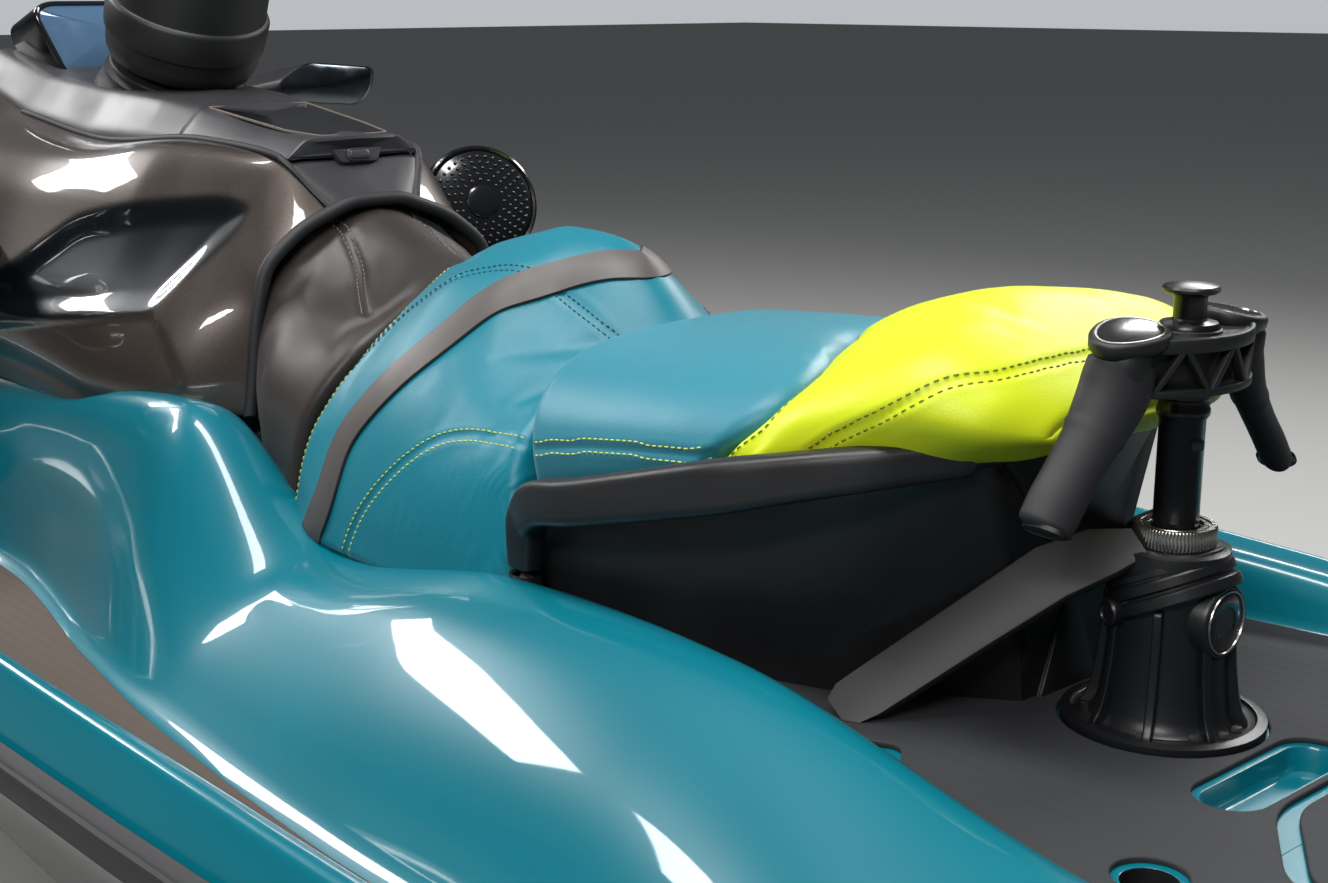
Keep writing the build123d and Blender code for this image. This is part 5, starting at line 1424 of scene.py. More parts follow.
def bar(name, table, finish, flip_side=1, step=7.0, **dressing):
    """A bar along a curve: at each point a rectangle of its own width and height, whose corners are
    rounded by a share of the width. It stands across the curve with its width level. Where the
    curve is steep, level is taken across the craft instead."""
    table = np.asarray(table, float)
    run = run_along(table[:, :3])
    rows = through(run, table, np.linspace(0, run[-1], int(run[-1] / step) + 2))
    path = rows[:, :3] * (1, flip_side, 1)
    along = directions(path)
    aside = unit(np.cross(along, (0, 0, 1.0)), 1e-6)
    level = unit(np.cross(along, (1.0, 0, 0)), 1e-6)
    level *= np.sign((level * aside).sum(1, keepdims=True) + 1e-9)
    steep = np.clip((abs(along[:, 2:]) - 0.75) / 0.2, 0, 1)
    aside = unit(aside * (1 - steep) + level * steep)
    up = np.cross(aside, along)
    section = rectangle() * rows[:, None, 3:5]
    section = rounded(section, BAR_CORNER * rows[:, 3].mean(), 5, closed=True)
    grid = path[:, None] + aside[:, None] * section[..., :1] + up[:, None] * section[..., 1:]
    return closed_skin(name, pulled_ends(grid, min(9.0, 0.4 * rows[:, 3].min())), finish, **dressing)


bar("grab_rail_port", GRAB, "rail", stands_for=["grab_rails"])
bar("grab_rail_starboard", GRAB, "rail", like="grab_rails", flip_side=-1)
bar("grab_rail_tail", [(-1112, 126, 430, 22, 24), (-1140, 70, 434, 22, 22), (-1146, 0, 436, 22, 22),
                       (-1140, -70, 434, 22, 22), (-1112, -126, 430, 22, 24)], "rail", like="grab_rails")
print("shroud and rails done")

# %% [markdown]
# ## Turned parts, badges and plates
# The tow pylon and the console are mostly turned parts and moulded caps. Two helpers make them: one
# turns a profile about an axis, and one carries a closed outline inwards and upwards, row by row, as
# a cap, a button, a rim or a lens. Both take the place and the direction that they face.

# %% Helpers for turned and capped parts
def axes_across(direction):
    """Two directions across a given one: for a piece that faces up they are +X and +Y, and for any
    other one the first is level."""
    facing = np.array(direction, float) / np.linalg.norm(direction)
    if abs(facing[2]) > 0.97:
        first = np.array([1.0, 0, 0]) - facing * facing[0]
    else:
        first = np.cross((0, 0, 1.0), facing)
    first /= np.linalg.norm(first)
    return first, np.cross(facing, first), facing


def turned(name, at, direction, profile, finish, sides=48, flutes=0, sharp_deg=35, **dressing):
    """A profile turned about an axis. Its rows are radius, height and, with flutes, their depth:
    r = radius - depth * (1 - cos(flutes * angle)) / 2."""
    first, second, facing = axes_across(direction)
    rows = np.array([tuple(row) + (0,) * (3 - len(row)) for row in profile], float)
    turn = turns(sides)
    radius = rows[:, :1] - rows[:, 2:] * (0.5 - 0.5 * np.cos(flutes * turn))
    grid = (np.array(at, float) + rows[:, 1, None, None] * facing
            + radius[..., None] * (np.cos(turn)[:, None] * first + np.sin(turn)[:, None] * second))
    return closed_skin(name, grid, finish, sharp_deg, **dressing)


def inset(loop, by):
    """A closed outline moved inwards, each point along the bisector of its corner."""
    along = unit(np.roll(loop, -1, axis=0) - np.roll(loop, 1, axis=0), 1e-9)
    x, y = loop.T
    turns_left = (x * np.roll(y, -1) - np.roll(x, -1) * y).sum() > 0
    inward = np.stack([-along[:, 1], along[:, 0]], -1) * (1 if turns_left else -1)
    return loop + inward * by


def cap_grid(at, direction, loop, rows, closed=True):
    """Points of a cap: its outline goes in and up at each row, and onto its middle at the end."""
    first, second, facing = axes_across(direction)
    loops = [np.insert(inset(loop, by), 2, height, axis=1) for by, height in rows]
    if closed:
        loops.append(np.broadcast_to(loops[-1].mean(0), loops[-1].shape))
    return np.array(at, float) + np.array(loops) @ np.array([first, second, facing])


def cap(name, at, direction, loop, rows, finish, ring=False, sharp_deg=40, **dressing):
    """A cap that faces a direction, or with ring a closed band that follows the outline."""
    grid = cap_grid(at, direction, np.asarray(loop, float), rows, not ring)
    return closed_skin(name, grid, finish, sharp_deg, ring, **dressing)


def joined(name, grids, finish, **dressing):
    """One piece from several grids that are each closed around."""
    points, faces, count = [], [], 0
    for grid in grids:
        flat = grid.reshape(-1, 3)
        index = grid_faces(*grid.shape[:2], closed_columns=True)
        faces.append(index[with_area(flat, index)] + count)
        points.append(flat)
        count += len(flat)
    piece = welded(name, np.concatenate(points), np.concatenate(faces), 50, outwards=True)
    return dressed(piece, finish, **dressing)


def closed_ends(grid):
    """Closes both ends of a grid, each onto its own middle."""
    first, last = [end.mean(1, keepdims=True) + 0 * end for end in (grid[:1], grid[-1:])]
    return np.concatenate([first, grid, last])


def oval(a, b, count=48, egg=0.0):
    """An oval outline. With egg it is wider at one end: y = b sin(t) (1 + egg cos(t))."""
    turn = turns(count)
    return np.stack([a * np.cos(turn), b * np.sin(turn) * (1 + egg * np.cos(turn))], -1)


print("cap helpers ready")

# %% [markdown]
# ## Tow pylon
# A tube slides up out of a ribbed foot on the platform. Its head is a bowed lattice with a spool for
# the rope, a bare pad at each end, and two oval grips that hang down from it.

# %% The foot, its bands, the bearing ring and the medallion
FOOT = [(DISC_R, 214), (DISC_R, 224.4), (71, 226), (69.6, 226), (68.6, 224.2), (67.6, 223.6), (56, 223.6),
        (53, 226), (50, 234), (47.5, 252), (45, 282), (44, 312), (43.5, 340), (43, 352), (42, 357),
        (38, 359), (18.5, 359), (18.5, 330)]
UP = (0, 0, 1)
turned("pylon_foot", (PYLON_X, 0, 0), UP, FOOT, "casting", sides=72, stands_for=["pylon_base"])
FIN = soft_loop([(36, 222), (64, 222), (63, 226), (58, 234), (54, 252), (50.5, 282), (49.5, 318),
                 (36, 322)],
                [0, 2, 3, 12, 20, 20, 4, 0], 5)
FIN_HALF = 3.6
FINS = 8


def make_fins():
    """Eight upright ribs round the foot, each a flat piece that is stood up to face along its rim."""
    for k in range(FINS):
        angle = math.radians(360 / FINS * (k + 0.5))
        side = (-math.sin(angle), math.cos(angle), 0)
        fin = plate(f"pylon_fin_{k}", [FIN], -FIN_HALF, FIN_HALF, 1.4, "casting", like="pylon_base")
        points = coordinates(fin.data)
        stood_up = np.stack([(math.cos(angle), math.sin(angle), 0), UP, side]).astype(np.float32)
        place(fin.data, points @ stood_up + np.array([PYLON_X * MM, 0, 0], np.float32))
        cleaned(fin, outwards=True)


make_fins()
BAND_TILT = math.radians(26)
BAND_FACING = (math.sin(BAND_TILT), 0, math.cos(BAND_TILT))
BANDS = [(38, -15), (49, -15), (50.5, -13.5), (50.5, -6.5), (49, -5), (46.6, -4.4), (46.6, -2.6),
         (48.5, -2), (49.4, -1), (49.4, 5), (48.4, 6.4), (45.6, 7), (45.6, 9), (46.8, 9.6), (46.8, 13.4),
         (45, 15), (38, 15)]
turned("pylon_bands", (PYLON_X, 0, 328), BAND_FACING, BANDS, "casting", sides=72, like="pylon_base")
for side in SIDES:
    turned(f"pylon_clamp_screw_{side}", (PYLON_X + 22, side * 45, 309), (0.35, side * 0.93, 0),
           [(11, -6), (11, 2.4), (9.6, 4), (7.4, 4), (6.6, 2.6), (2, 2.6), (0, 2.6)], "casting", sides=32,
           like="pylon_base")
    for x, y in ((-46, 30), (-58, 9), (-18, 55)):
        turned(f"pylon_bolt_{x}_{side}", (PYLON_X + x, side * y, 223), UP,
               [(4.4, 0), (4.4, 2.6), (3.6, 3.6), (0, 3.8)], "strut", sides=6, like="pylon_base")
RING_Z = 359.0
RACE = [(18.4, 1), (31 - 1.4, 0.2), (31, 1.6, 0.9), (31, 14.2, 0.9), (29.8, 16), (26.6, 16), (26.1, 14.8),
        (24.6, 14.8), (24.1, 15.8), (20.8, 15.8), (20.2, 14.2), (18.4, 14.0), (18.4, 1)]
turned("pylon_bearing", (PYLON_X, 0, RING_Z), UP, RACE, "stainless", sides=288, flutes=72,
       stands_for=["pylon_ring"])
MEDALLION_AT = (PYLON_X - 38, 0, 308)
turned("medallion_boss", MEDALLION_AT, (-1, 0, 0),
       [(29, -26), (29, 7), (27.8, 9.4), (26.6, 10.4), (25.2, 10.4), (24.4, 9.2), (0, 9.2)], "casting",
       sides=64, like="pylon_base")
turned("medallion_rim", MEDALLION_AT, (-1, 0, 0),
       [(22.4, 8), (22.6, 10.6), (23.2, 11.4), (24.2, 11.4), (24.6, 10.4), (24.6, 8), (22.4, 8)],
       "stainless", sides=64, like="pylon_base")
turned("medallion_face", MEDALLION_AT, (-1, 0, 0),
       [(22, 8.6), (22, 10), (21.4, 10.4), (12, 10.4), (11, 9.6), (0, 9.6)], "gloss", sides=64,
       like="pylon_base")

# %% Struts from the foot's top down to the platform
STRUT_ROWS = np.array([(-1206, 30, 362, 26), (-1184, 44, 353, 42), (-1154, 66, 334, 47),
                       (-1112, 111, 290, 44), (-1062, 164, 237, 42), (-1052, 176, 226, 41),
                       (-1046, 182, 219, 30)], float)
STRUT_ALONG = np.array([0.567, 0.616, -0.547])
STRUT_FACING = np.array([-0.294, 0.773, 0.563])
STRUT_THICK_MM = 13.0


def make_strut(side):
    """A flat bar with chamfered edges, bent a little at its head."""
    thick = unit(STRUT_FACING)
    across = np.cross(STRUT_ALONG, thick)
    sizes = np.stack([STRUT_ROWS[:, 3], np.full(len(STRUT_ROWS), STRUT_THICK_MM)], -1)
    section = rounded(rectangle() * sizes[:, None], 3.4, 3, closed=True)
    grid = closed_ends(STRUT_ROWS[:, None, :3] + across * section[..., :1] + thick * section[..., 1:])
    grid[:, :, 2] = np.maximum(grid[:, :, 2], PLATFORM_Z + 0.2)
    closed_skin(f"pylon_strut_{SIDES[side]}", grid * (1, side, 1), "strut", 24,
                **of_pair("pylon_struts", side))


for side in SIDES:
    make_strut(side)
print("pylon foot done")

# %% The post with its rope spool
POST = [(0, 62), (16, 62), (17, 63), (17, 455), (18.4, 457), (19.6, 459), (19.6, 463), (18.6, 465),
        (18.6, 470), (20.5, 472), (20.5, 480), (12, 481), (12, 518), (22, 519), (22.6, 521), (22.6, 524),
        (20.6, 527), (13.2, 528.4), (12, 530), (12, 545), (13.4, 547.4), (18.6, 548.4), (20.6, 549.8),
        (20.8, 551.8), (19.4, 553.6), (13, 555.2), (6, 556), (0, 556.2)]
turned("pylon_tube", (PYLON_X, 0, 0), UP, POST, "tube", sides=64, body="pylon_mast",
       stands_for=["pylon_post"])
POST_LABEL = soft_loop(rectangle(12, 8), 2, 4)
cap("pylon_post_mark", (PYLON_X - 16.9, 4, 437), (-1, 0.24, 0), POST_LABEL, [(0, -1), (0, 0.3), (0.5, 0.5)],
    "casting", body="pylon_mast", like="pylon_post")
print("post done")

# %% The lattice head
ARC_R = 89.8
ARC_AHEAD = 49.8
ARC_HALF = math.radians(69.3)
HEAD_Z = (480.0, 520.0)
LATTICE_BAYS = 8


def on_arc(inward, angle):
    """A point of the head's bowed rear side, some mm inside its outline."""
    r = ARC_R - inward
    return PYLON_X + ARC_AHEAD - r * np.cos(angle), r * np.sin(angle)


def arc_bar(inward, z0, z1, wide):
    """A band that follows the arc, as a grid closed around."""
    angle = np.linspace(-ARC_HALF, ARC_HALF, 49)[:, None]
    corners = [(-wide / 2, z0), (wide / 2, z0), (wide / 2, z1), (-wide / 2, z1)]
    box = soft_loop(corners, min(1.6, wide / 3), 3)
    x, y = on_arc(inward + box[:, 0], angle)
    return closed_ends(np.stack([x, y, np.broadcast_to(box[:, 1], x.shape)], -1))


def lattice_bar(angle_low, angle_high, thick=4.6, wide=8.0):
    """A straight member from the lower chord to the upper one. It leans along the arc."""
    z = np.array([HEAD_Z[0] + 2, HEAD_Z[1] - 4])
    x, y = on_arc(wide / 2, np.array([angle_low, angle_high]))
    ends = np.stack([x, y, z], -1)
    middle = (angle_low + angle_high) / 2
    out = np.array([-math.cos(middle), math.sin(middle), 0])
    flat = np.cross(out, unit(ends[1] - ends[0]))
    box = soft_loop(rectangle(wide, thick), 1.3, 3)
    return ends[:, None] + (out * box[:, :1] + flat * box[:, 1:])[None]


def make_lattice():
    """The upper and lower chord, a web behind them and the leaning members, as one piece."""
    low, high = HEAD_Z
    grids = [arc_bar(4, low, low + 6, 8), arc_bar(4, high - 8, high + 0.6, 8),
             arc_bar(13, low + 1, high - 4, 3)]
    nodes = np.linspace(-ARC_HALF * 0.86, ARC_HALF * 0.86, LATTICE_BAYS + 1)
    for k in range(LATTICE_BAYS):
        first, second = nodes[k:k + 2] if k % 2 else nodes[k:k + 2][::-1]
        grids.append(lattice_bar(first, second))
    joined("pylon_lattice", grids, "nylon", body="pylon_mast", stands_for=["pylon_head"])


make_lattice()
HEAD = {"body": "pylon_mast", "like": "pylon_head"}
head_angle = np.linspace(-ARC_HALF, ARC_HALF, 33)
head_line = soft_loop(np.stack(on_arc(0, head_angle), -1),
                      np.where(abs(head_angle) > ARC_HALF * 0.99, 12, 1), 4)
cap("pylon_head_plate", (0, 0, HEAD_Z[1]), UP, head_line,
    [(9, -8), (1.2, -7.4), (0.2, -6), (0, 1.8), (0.9, 2.8), (3.2, 2.8), (4.2, 1.8), (4.6, 0.5), (5.4, 0)],
    "nylon", sharp_deg=50, **HEAD)
turned("pylon_boss", (PYLON_X, 0, 0), UP, [(21, 478), (25, 479), (25, 516), (24, 522), (22, 523),
                                           (12, 523)],
       "nylon", **HEAD)
print("lattice bays:", LATTICE_BAYS)

# %% The head's ends, each with a bare pad
PAD_LOOP = oval(33, 27, 56, egg=-0.16)
END_PROFILE = [(0, 474), (14, 475), (17.5, 480), (18.5, 500), (19, 510), (16, 516), (0, 517)]
for side, where in SIDES.items():
    turned(f"head_end_{where}", (PYLON_X + 2, side * 74, 0), UP, END_PROFILE, "nylon", **HEAD)
    facing = (-0.11, side * 0.15, 0.98)
    at = (PYLON_X + 6, side * 68, HEAD_Z[1] + 6)
    loop = PAD_LOOP[:, ::-1] * (1, side)
    pad_side = cap_grid(at, facing, loop, [(9, -16), (3, -12), (0, -7), (0, -1), (1.2, 0.8), (3, 1.4),
                                           (5, 1.4), (5.6, 0.9)])
    joined(f"head_pad_{where}", [pad_side], "nylon", **HEAD)
    cap(f"head_pad_rim_{where}", at, facing, loop, [(4.2, 0.9), (4.4, 1.9), (5.6, 1.9), (5.8, 0.9)],
        "stainless", ring=True, **HEAD)
    cap(f"head_pad_face_{where}", at, facing, loop, [(6.0, 0.4), (6.2, 1.5), (7.4, 1.7)], "gloss", **HEAD)
print("pylon head done")

# %% Grips under the head
# height down the grip, then x, y, the half width and the half thickness there
GRIP = np.array([(510, -1210, 74, 24, 19), (490, -1210, 80, 26, 18), (470, -1209, 92, 24, 15),
                 (450, -1208, 108, 21, 12.6), (430, -1207, 126, 20, 12), (414, -1207, 140, 20.5, 12.2),
                 (396, -1207, 154, 20, 12)], float)
GRIP_WIDE = np.array([0.67, 0.74, 0.0])


def make_grip(side):
    """An oval bar whose wide side faces the stern's port and starboard quarters."""
    s = np.linspace(0, 1, 40)
    rows = through(np.linspace(0, 1, len(GRIP)), GRIP, s)
    path = np.stack([rows[:, 1], rows[:, 2], rows[:, 0]], -1)
    along = directions(path)
    wide = unit(GRIP_WIDE - along * (along @ GRIP_WIDE)[:, None])
    thick = np.cross(along, wide)
    ringed = 1 + 0.05 * ((s > 0.42) & (s < 0.46))
    turn = turns(40)
    a, b = rows[:, 3] * ringed, rows[:, 4] * ringed
    ring = (wide[:, None] * (np.cos(turn) * a[:, None])[..., None]
            + thick[:, None] * (np.sin(turn) * b[:, None])[..., None])
    grid = pulled_ends(path[:, None] + ring, 6)
    flip = np.array([1, side, 1])
    closed_skin(f"pylon_grip_{SIDES[side]}", grid * flip, "rubber", body="pylon_mast",
                **of_pair("pylon_grips", side))
    cap(f"pylon_grip_plug_{side}", path[-1] * flip, along[-1] * flip, oval(17, 9.6),
        [(0, -3), (0, 0.4), (0.8, 1.0), (2.4, 1.0), (3.0, 0.2)], "nylon", body="pylon_mast",
        like="pylon_grips")


for side in SIDES:
    make_grip(side)
print("pylon grips done")

# %% [markdown]
# ## Side panels
# The gloss taupe panels beside the console are thin mouldings with a scoop, whose dark navy colour is
# painted shade and a painted dark reflection. The panel is a grid read from an outline table, as the seats
# are, with its rear edge along the knee pad. The scoop is a signed distance from a drawn line: points
# inside it move in, and the same distance drives a colour attribute, so that the painted shade's edge and
# the step agree.

# %% Outline tables of the panels
# x, then: inner foot, foot, low side, side, high side, shoulder, crown, inner crown
PANEL = [
    (-148, [(150, 300), (176, 300), (168, 352), (163, 398), (156, 434), (146, 467), (100, 503), (56, 520)]),
    (-100, [(150, 285), (232, 300), (230, 348), (208, 405), (176, 446), (140, 500), (112, 555), (90, 577)]),
    (-60, [(150, 275), (256, 300), (256, 346), (232, 408), (196, 454), (156, 514), (126, 572), (96, 584)]),
    (0, [(150, 270), (270, 292), (274, 338), (252, 408), (208, 464), (174, 526), (142, 584), (102, 588)]),
    (60, [(150, 270), (276, 285), (284, 330), (268, 402), (222, 474), (192, 542), (156, 588), (108, 590)]),
    (250, [(150, 270), (280, 285), (296, 330), (300, 400), (256, 480), (222, 547), (176, 574), (124, 578)]),
    (450, [(150, 270), (320, 285), (345, 330), (350, 400), (325, 490), (285, 560), (215, 592), (148, 604)]),
    (580, [(150, 300), (355, 300), (364, 330), (366, 400), (338, 498), (262, 598), (220, 625), (150, 640)]),
]
PANEL_FRONT = 580
PANEL_CORNERS = [0, 8, 30, 50, 50, 44, 34, 0]
PANEL_ROWS, PANEL_COLUMNS = 192, 120
SCOOP = np.array([(430, 372), (248, 434), (149, 506), (36, 530), (-59, 540), (-88, 534), (-101, 522),
                  (-92, 486), (-66, 440), (-47, 408), (-13, 403), (62, 392), (170, 376), (290, 360)], float)
SCOOP_DEEP = 10.0
LOWER_LINE = np.array([(430, 350), (290, 360), (170, 376), (62, 392), (-13, 403), (-47, 408), (-73, 386),
                       (-94, 352), (-106, 313), (-112, 280), (430, 250)], float)
LOWER_DEEP = 4.0


def inside_by(points, loop):
    """Signed distance from a closed line in a plane, positive inside it."""
    a, b = loop, np.roll(loop, -1, axis=0)
    line = b - a
    to = points[..., None, :] - a
    t = np.clip((to * line).sum(-1) / ((line ** 2).sum(-1) + 1e-9), 0, 1)
    far = np.linalg.norm(to - t[..., None] * line, axis=-1).min(-1)
    x, y = points[..., None, 0], points[..., None, 1]
    crosses = (a[:, 1] > y) != (b[:, 1] > y)
    at_x = a[:, 0] + (y - a[:, 1]) * line[:, 0] / np.where(line[:, 1] == 0, 1e-9, line[:, 1])
    return np.where((crosses & (x < at_x)).sum(-1) % 2 == 1, far, -far)


def ease(value):
    """0 to 1 with flat ends: 3t^2 - 2t^3."""
    t = np.clip(value, 0, 1)
    return t * t * (3 - 2 * t)


def evenly(line, count):
    """An open line taken again at even steps of its length."""
    run = run_along(line)
    at = np.linspace(0, run[-1], count)
    return np.stack([np.interp(at, run, line[:, i]) for i in range(line.shape[1])], -1)


def open_normals(grid):
    """Unit normals of an open grid."""
    return unit(np.cross(np.gradient(grid, axis=0), np.gradient(grid, axis=1)), 1e-9)


def panel_grid():
    """Rows along the craft, each through the table's places at its own x, with rounded corners."""
    rear = np.full(len(PANEL_CORNERS), float(PANEL[0][0]))
    t = np.linspace(0, 1, PANEL_ROWS)
    x = rear + t[:, None] ** 1.15 * (PANEL_FRONT - rear)
    lines = np.concatenate([x[..., None], read_table(PANEL, x)], -1)
    return np.array([evenly(line, PANEL_COLUMNS) for line in rounded(lines, PANEL_CORNERS, 7)])


def set_share(piece, name, values):
    """Stores one number at each point of a piece, for its material to read."""
    layer = piece.data.attributes.new(name, "FLOAT", "POINT")
    layer.data.foreach_set("value", np.asarray(values, np.float32))


SCOOP_LINE = soft_loop(SCOOP, 26, 5)


def make_panel(side):
    """The panel with its scoop and the lower field pressed in: each depth eases in over some mm
    inside its line, and both fade out towards the middle of the craft."""
    grid = panel_grid()
    normal = open_normals(grid)
    normal *= np.sign((normal * (grid - (100, 60, 420))).sum(-1).mean())
    flat = grid[..., [0, 2]]
    scoop, lower = inside_by(flat, SCOOP_LINE), inside_by(flat, LOWER_LINE)
    depth = (SCOOP_DEEP * ease(scoop / 34)
             + LOWER_DEEP * ease(lower / 12 + 0.5) * (scoop < 6) * ease((6 - scoop) / 8))
    grid = grid - normal * (depth * outer_share(grid))[..., None]
    edge = grid[:1] - normal[:1] * 4 + (2.0, 0, 0)
    fold = grid[:1] - normal[:1] * 12 + (12.0, 0, 0)
    grid = np.concatenate([fold, edge, grid])
    piece = mesh_object(f"side_panel_{SIDES[side]}", grid.reshape(-1, 3) * (MM, side * MM, MM),
                        grid_faces(*grid.shape[:2]), 40)
    # The dark navy in the scoop is painted shade and a painted dark reflection, stored at each point.
    share = ease(inside_by(grid[..., [0, 2]], SCOOP_LINE) / 8 + 0.2) * outer_share(grid)
    set_share(piece, "painted_shade_field", share.ravel())
    outward_from(piece, (0.1, 0, 0.42))
    dressed(piece, "panel", **of_pair("side_panels", side))


def outer_share(grid):
    """1 on the panel's outer face, easing to 0 where it turns in to the console."""
    return ease((grid[..., 1] - 105) / 40)


def outward_from(piece, middle):
    """Turns an open sheet so that most of it faces away from a point."""
    faces, centres = [vectors_of(piece.data.polygons, name) for name in ("normal", "center")]
    if (faces * (centres - np.array(middle, np.float32))).sum() < 0:
        piece.data.flip_normals()


for side in SIDES:
    make_panel(side)
print("side panels done")

# %% [markdown]
# ## Console, glovebox lid and the rubber lip
# The console is a ridge between the panels. Its rear face slopes down to the knee pad, and a
# bevelled lid covers the box in it. Ridge and lid are read from one table, so they line up.

# %% The console's ridge
# x, then: top centre, top edge, bevel foot, side foot
RIDGE = [
    (-150, [(0, 529), (34, 528), (50, 522), (56, 506)]),
    (-114, [(0, 571), (62, 570), (86, 568), (96, 548)]),
    (-108, [(0, 573), (66, 572), (90, 570), (100, 550)]),
    (95, [(0, 586), (76, 585), (104, 583), (112, 560)]),
    (112, [(0, 628), (74, 625), (106, 590), (114, 560)]),
    (180, [(0, 636), (84, 632), (116, 590), (124, 560)]),
    (300, [(0, 642), (96, 638), (132, 588), (138, 556)]),
    (440, [(0, 656), (112, 650), (146, 606), (150, 580)]),
    (580, [(0, 692), (122, 682), (151, 642), (152, 610)]),
]
BOX = (-88.0, 92.0, 64.0, 488.0)


def table_rows(table, x, corners, steps=5, straight=False):
    """Open outlines at each x, from a table, mirrored to the starboard side. A straight table is
    read in straight lines, and any other one in smooth curves."""
    xs, half = table_of(table)
    if straight:
        places = range(half.shape[1])
        yz = np.stack([[np.interp(x, xs, half[:, k, i]) for i in (0, 1)] for k in places])
        yz = yz.transpose(2, 0, 1)
    else:
        yz = through(xs, half, x)
    line = at_x(x, rounded(yz, corners, steps))
    return np.concatenate([line[:, :0:-1] * (1, -1, 1), line], 1)


def make_ridge():
    """The ridge's skin, open over the box, with the box's walls and floor as a liner."""
    x0, x1, half, floor = BOX
    table_x = [row[0] for row in RIDGE]
    x = np.unique(np.concatenate([table_x, np.arange(-150, 580, 12), [x0, x1],
                                  [-116, -106, 93, 97, 110, 114]]))
    fine = np.array([evenly(line, 61) for line in table_rows(RIDGE, x, [0, 9, 9, 0], straight=True)])
    open_box = lambda c: ~((c[:, 0] > x0) & (c[:, 0] < x1) & (abs(c[:, 1]) < half))
    skin = surface("console_ridge", fine, keep=open_box, sharp_deg=28)
    fix_up(skin)
    dressed(skin, "grey", stands_for=["console"])
    rim = soft_loop(frame_of(x0, x1, half), 9, 5)
    rows = [(-3, 584), (-3, 570), (0, 568), (2, floor + 8), (6, floor + 2), (12, floor)]
    box = surface("glovebox_liner", cap_grid((0, 0, 0), UP, rim, rows), closed_columns=True)
    fix_up(box)
    dressed(box, "satin", like="console")


make_ridge()
print("ridge outlines:", len(RIDGE))

# %% The glovebox lid with its bare label field and its latch
LID = [
    (-110, [(0, 574), (80, 574), (88, 575.5), (62, 597), (0, 599)]),
    (0, [(0, 580), (92, 580), (98, 581.5), (68, 607), (0, 609)]),
    (108, [(0, 588), (100, 588), (106, 589.5), (73, 624), (0, 627)]),
]


def make_lid():
    """The lid's closed body: rows of its outline, with small rounded ends and a dropped latch lug."""
    x = np.unique(np.concatenate([np.arange(-110, 108, 8), [108, -108.5, -106.5, -104, 106.5]]))
    line = at_x(x, rounded(through(*table_of(LID), x), [0, 2, 2.5, 9, 0], 4))
    grid = np.concatenate([line, line[:, -2:0:-1] * (1, -1, 1)], 1)
    drop = 9.0 * ease((-60 - grid[..., :1]) / 50) * ease((70 - abs(grid[..., 1:2])) / 70)
    grid = pulled_ends(grid - drop * (1, 0, 0), 4)
    closed_skin("glovebox_lid_body", grid, "grey", 28, body="glovebox_lid", stands_for=["glovebox_lid"])


make_lid()
LABEL = soft_loop([(-104, -52), (-108, 0), (-104, 40), (-62, 60), (-30, 62), (104, 69), (104, -69),
                   (-30, -62)],
                  [8, 40, 8, 12, 12, 6, 6, 12])
LABEL_AT, LID_FACING = (0, 0, 611.2), (-0.118, 0, 1)
LATCH_FACING = (-1, 0, 0.35)
ON_LID = {"body": "glovebox_lid", "like": "glovebox_lid"}
cap("lid_label_rim", LABEL_AT, LID_FACING, LABEL,
    [(0, -2), (0, 0.3), (0.3, 0.6), (1.9, 0.6), (2.2, 0.3), (2.2, -2)], "thread_taupe", ring=True, **ON_LID)
cap("lid_label_field", LABEL_AT, LID_FACING, LABEL, [(2.4, -2), (2.4, 0.1), (2.9, 0.2)], "gloss", **ON_LID)
LUG = soft_loop([(-34, 8), (-25, -9), (25, -9), (34, 8)], [3, 6, 6, 3], 5)
cap("latch_lug", (-117, 0, 576), LATCH_FACING, LUG, [(0, -8), (0, 0.5), (1.2, 2), (3, 2.2)], "grey",
    **ON_LID)
BUTTON = soft_loop(rectangle(26, 11), 5)
cap("latch_button", (-120, 0, 577), LATCH_FACING, BUTTON,
    [(-2.2, -3), (-2.2, 0.6), (-1.4, 1.3), (-0.4, 1.3), (0, 0.4), (0.2, 2.2), (1.2, 3.0), (3, 3.2)], "grey",
    **ON_LID)
print("lid outlines:", len(LID))


# %% The rubber lip
def knee_lip():
    """The rubber lip between the panels' and the console's rear edge and the knee pad, and the dark
    gap along each panel's inner crown."""
    edge = np.insert(np.array(PANEL[0][1][1:], float), 0, PANEL[0][0] - 5, axis=1)
    rear = np.concatenate([[(-154, 0, 529), (-154, 34, 528)], edge[::-1]])
    rear = rounded(rear, [0, 12, 12, 20, 20, 20, 20, 20, 0], 4)
    tube("knee_lip", spread(mirrored_path(rear[::-1]), 5.0), np.array([-0.93, 0, 0.37]), 8.0, "rubber", 12,
         like="console")
    crown = [(-147, 58, 522), (-128, 73, 545), (-112, 87, 568), (-98, 93, 578), (-60, 98, 584),
             (0, 104, 588), (60, 110, 590), (250, 125, 578), (450, 149, 604)]
    for side, guide in both_sides(crown):
        tube(f"panel_gap_{side}", spread(guide, 8.0), np.array([0, 0, 1.0]), 5.0, "rubber", like="console")


knee_lip()
print("console done")

# %% [markdown]
# ## Steering, gauge, speakers, mirrors and hood
# The front is mostly out of the picture, so it follows the CAD model and common practice. The
# steering column's bellows stay on the console, and the broad cover above them turns with the bars.

# %% Steering column and its cover
COLUMN_AT = (313.0, 635.0)
RAKE = math.radians(25)
COLUMN_UP = (-math.sin(RAKE), 0, math.cos(RAKE))


def column(s, y=0.0, ahead=0.0):
    """A point at s along the steering column, y to port and so far ahead of it."""
    return np.array([COLUMN_AT[0] - s * math.sin(RAKE) + ahead * math.cos(RAKE), y,
                     COLUMN_AT[1] + s * math.cos(RAKE) + ahead * math.sin(RAKE)])


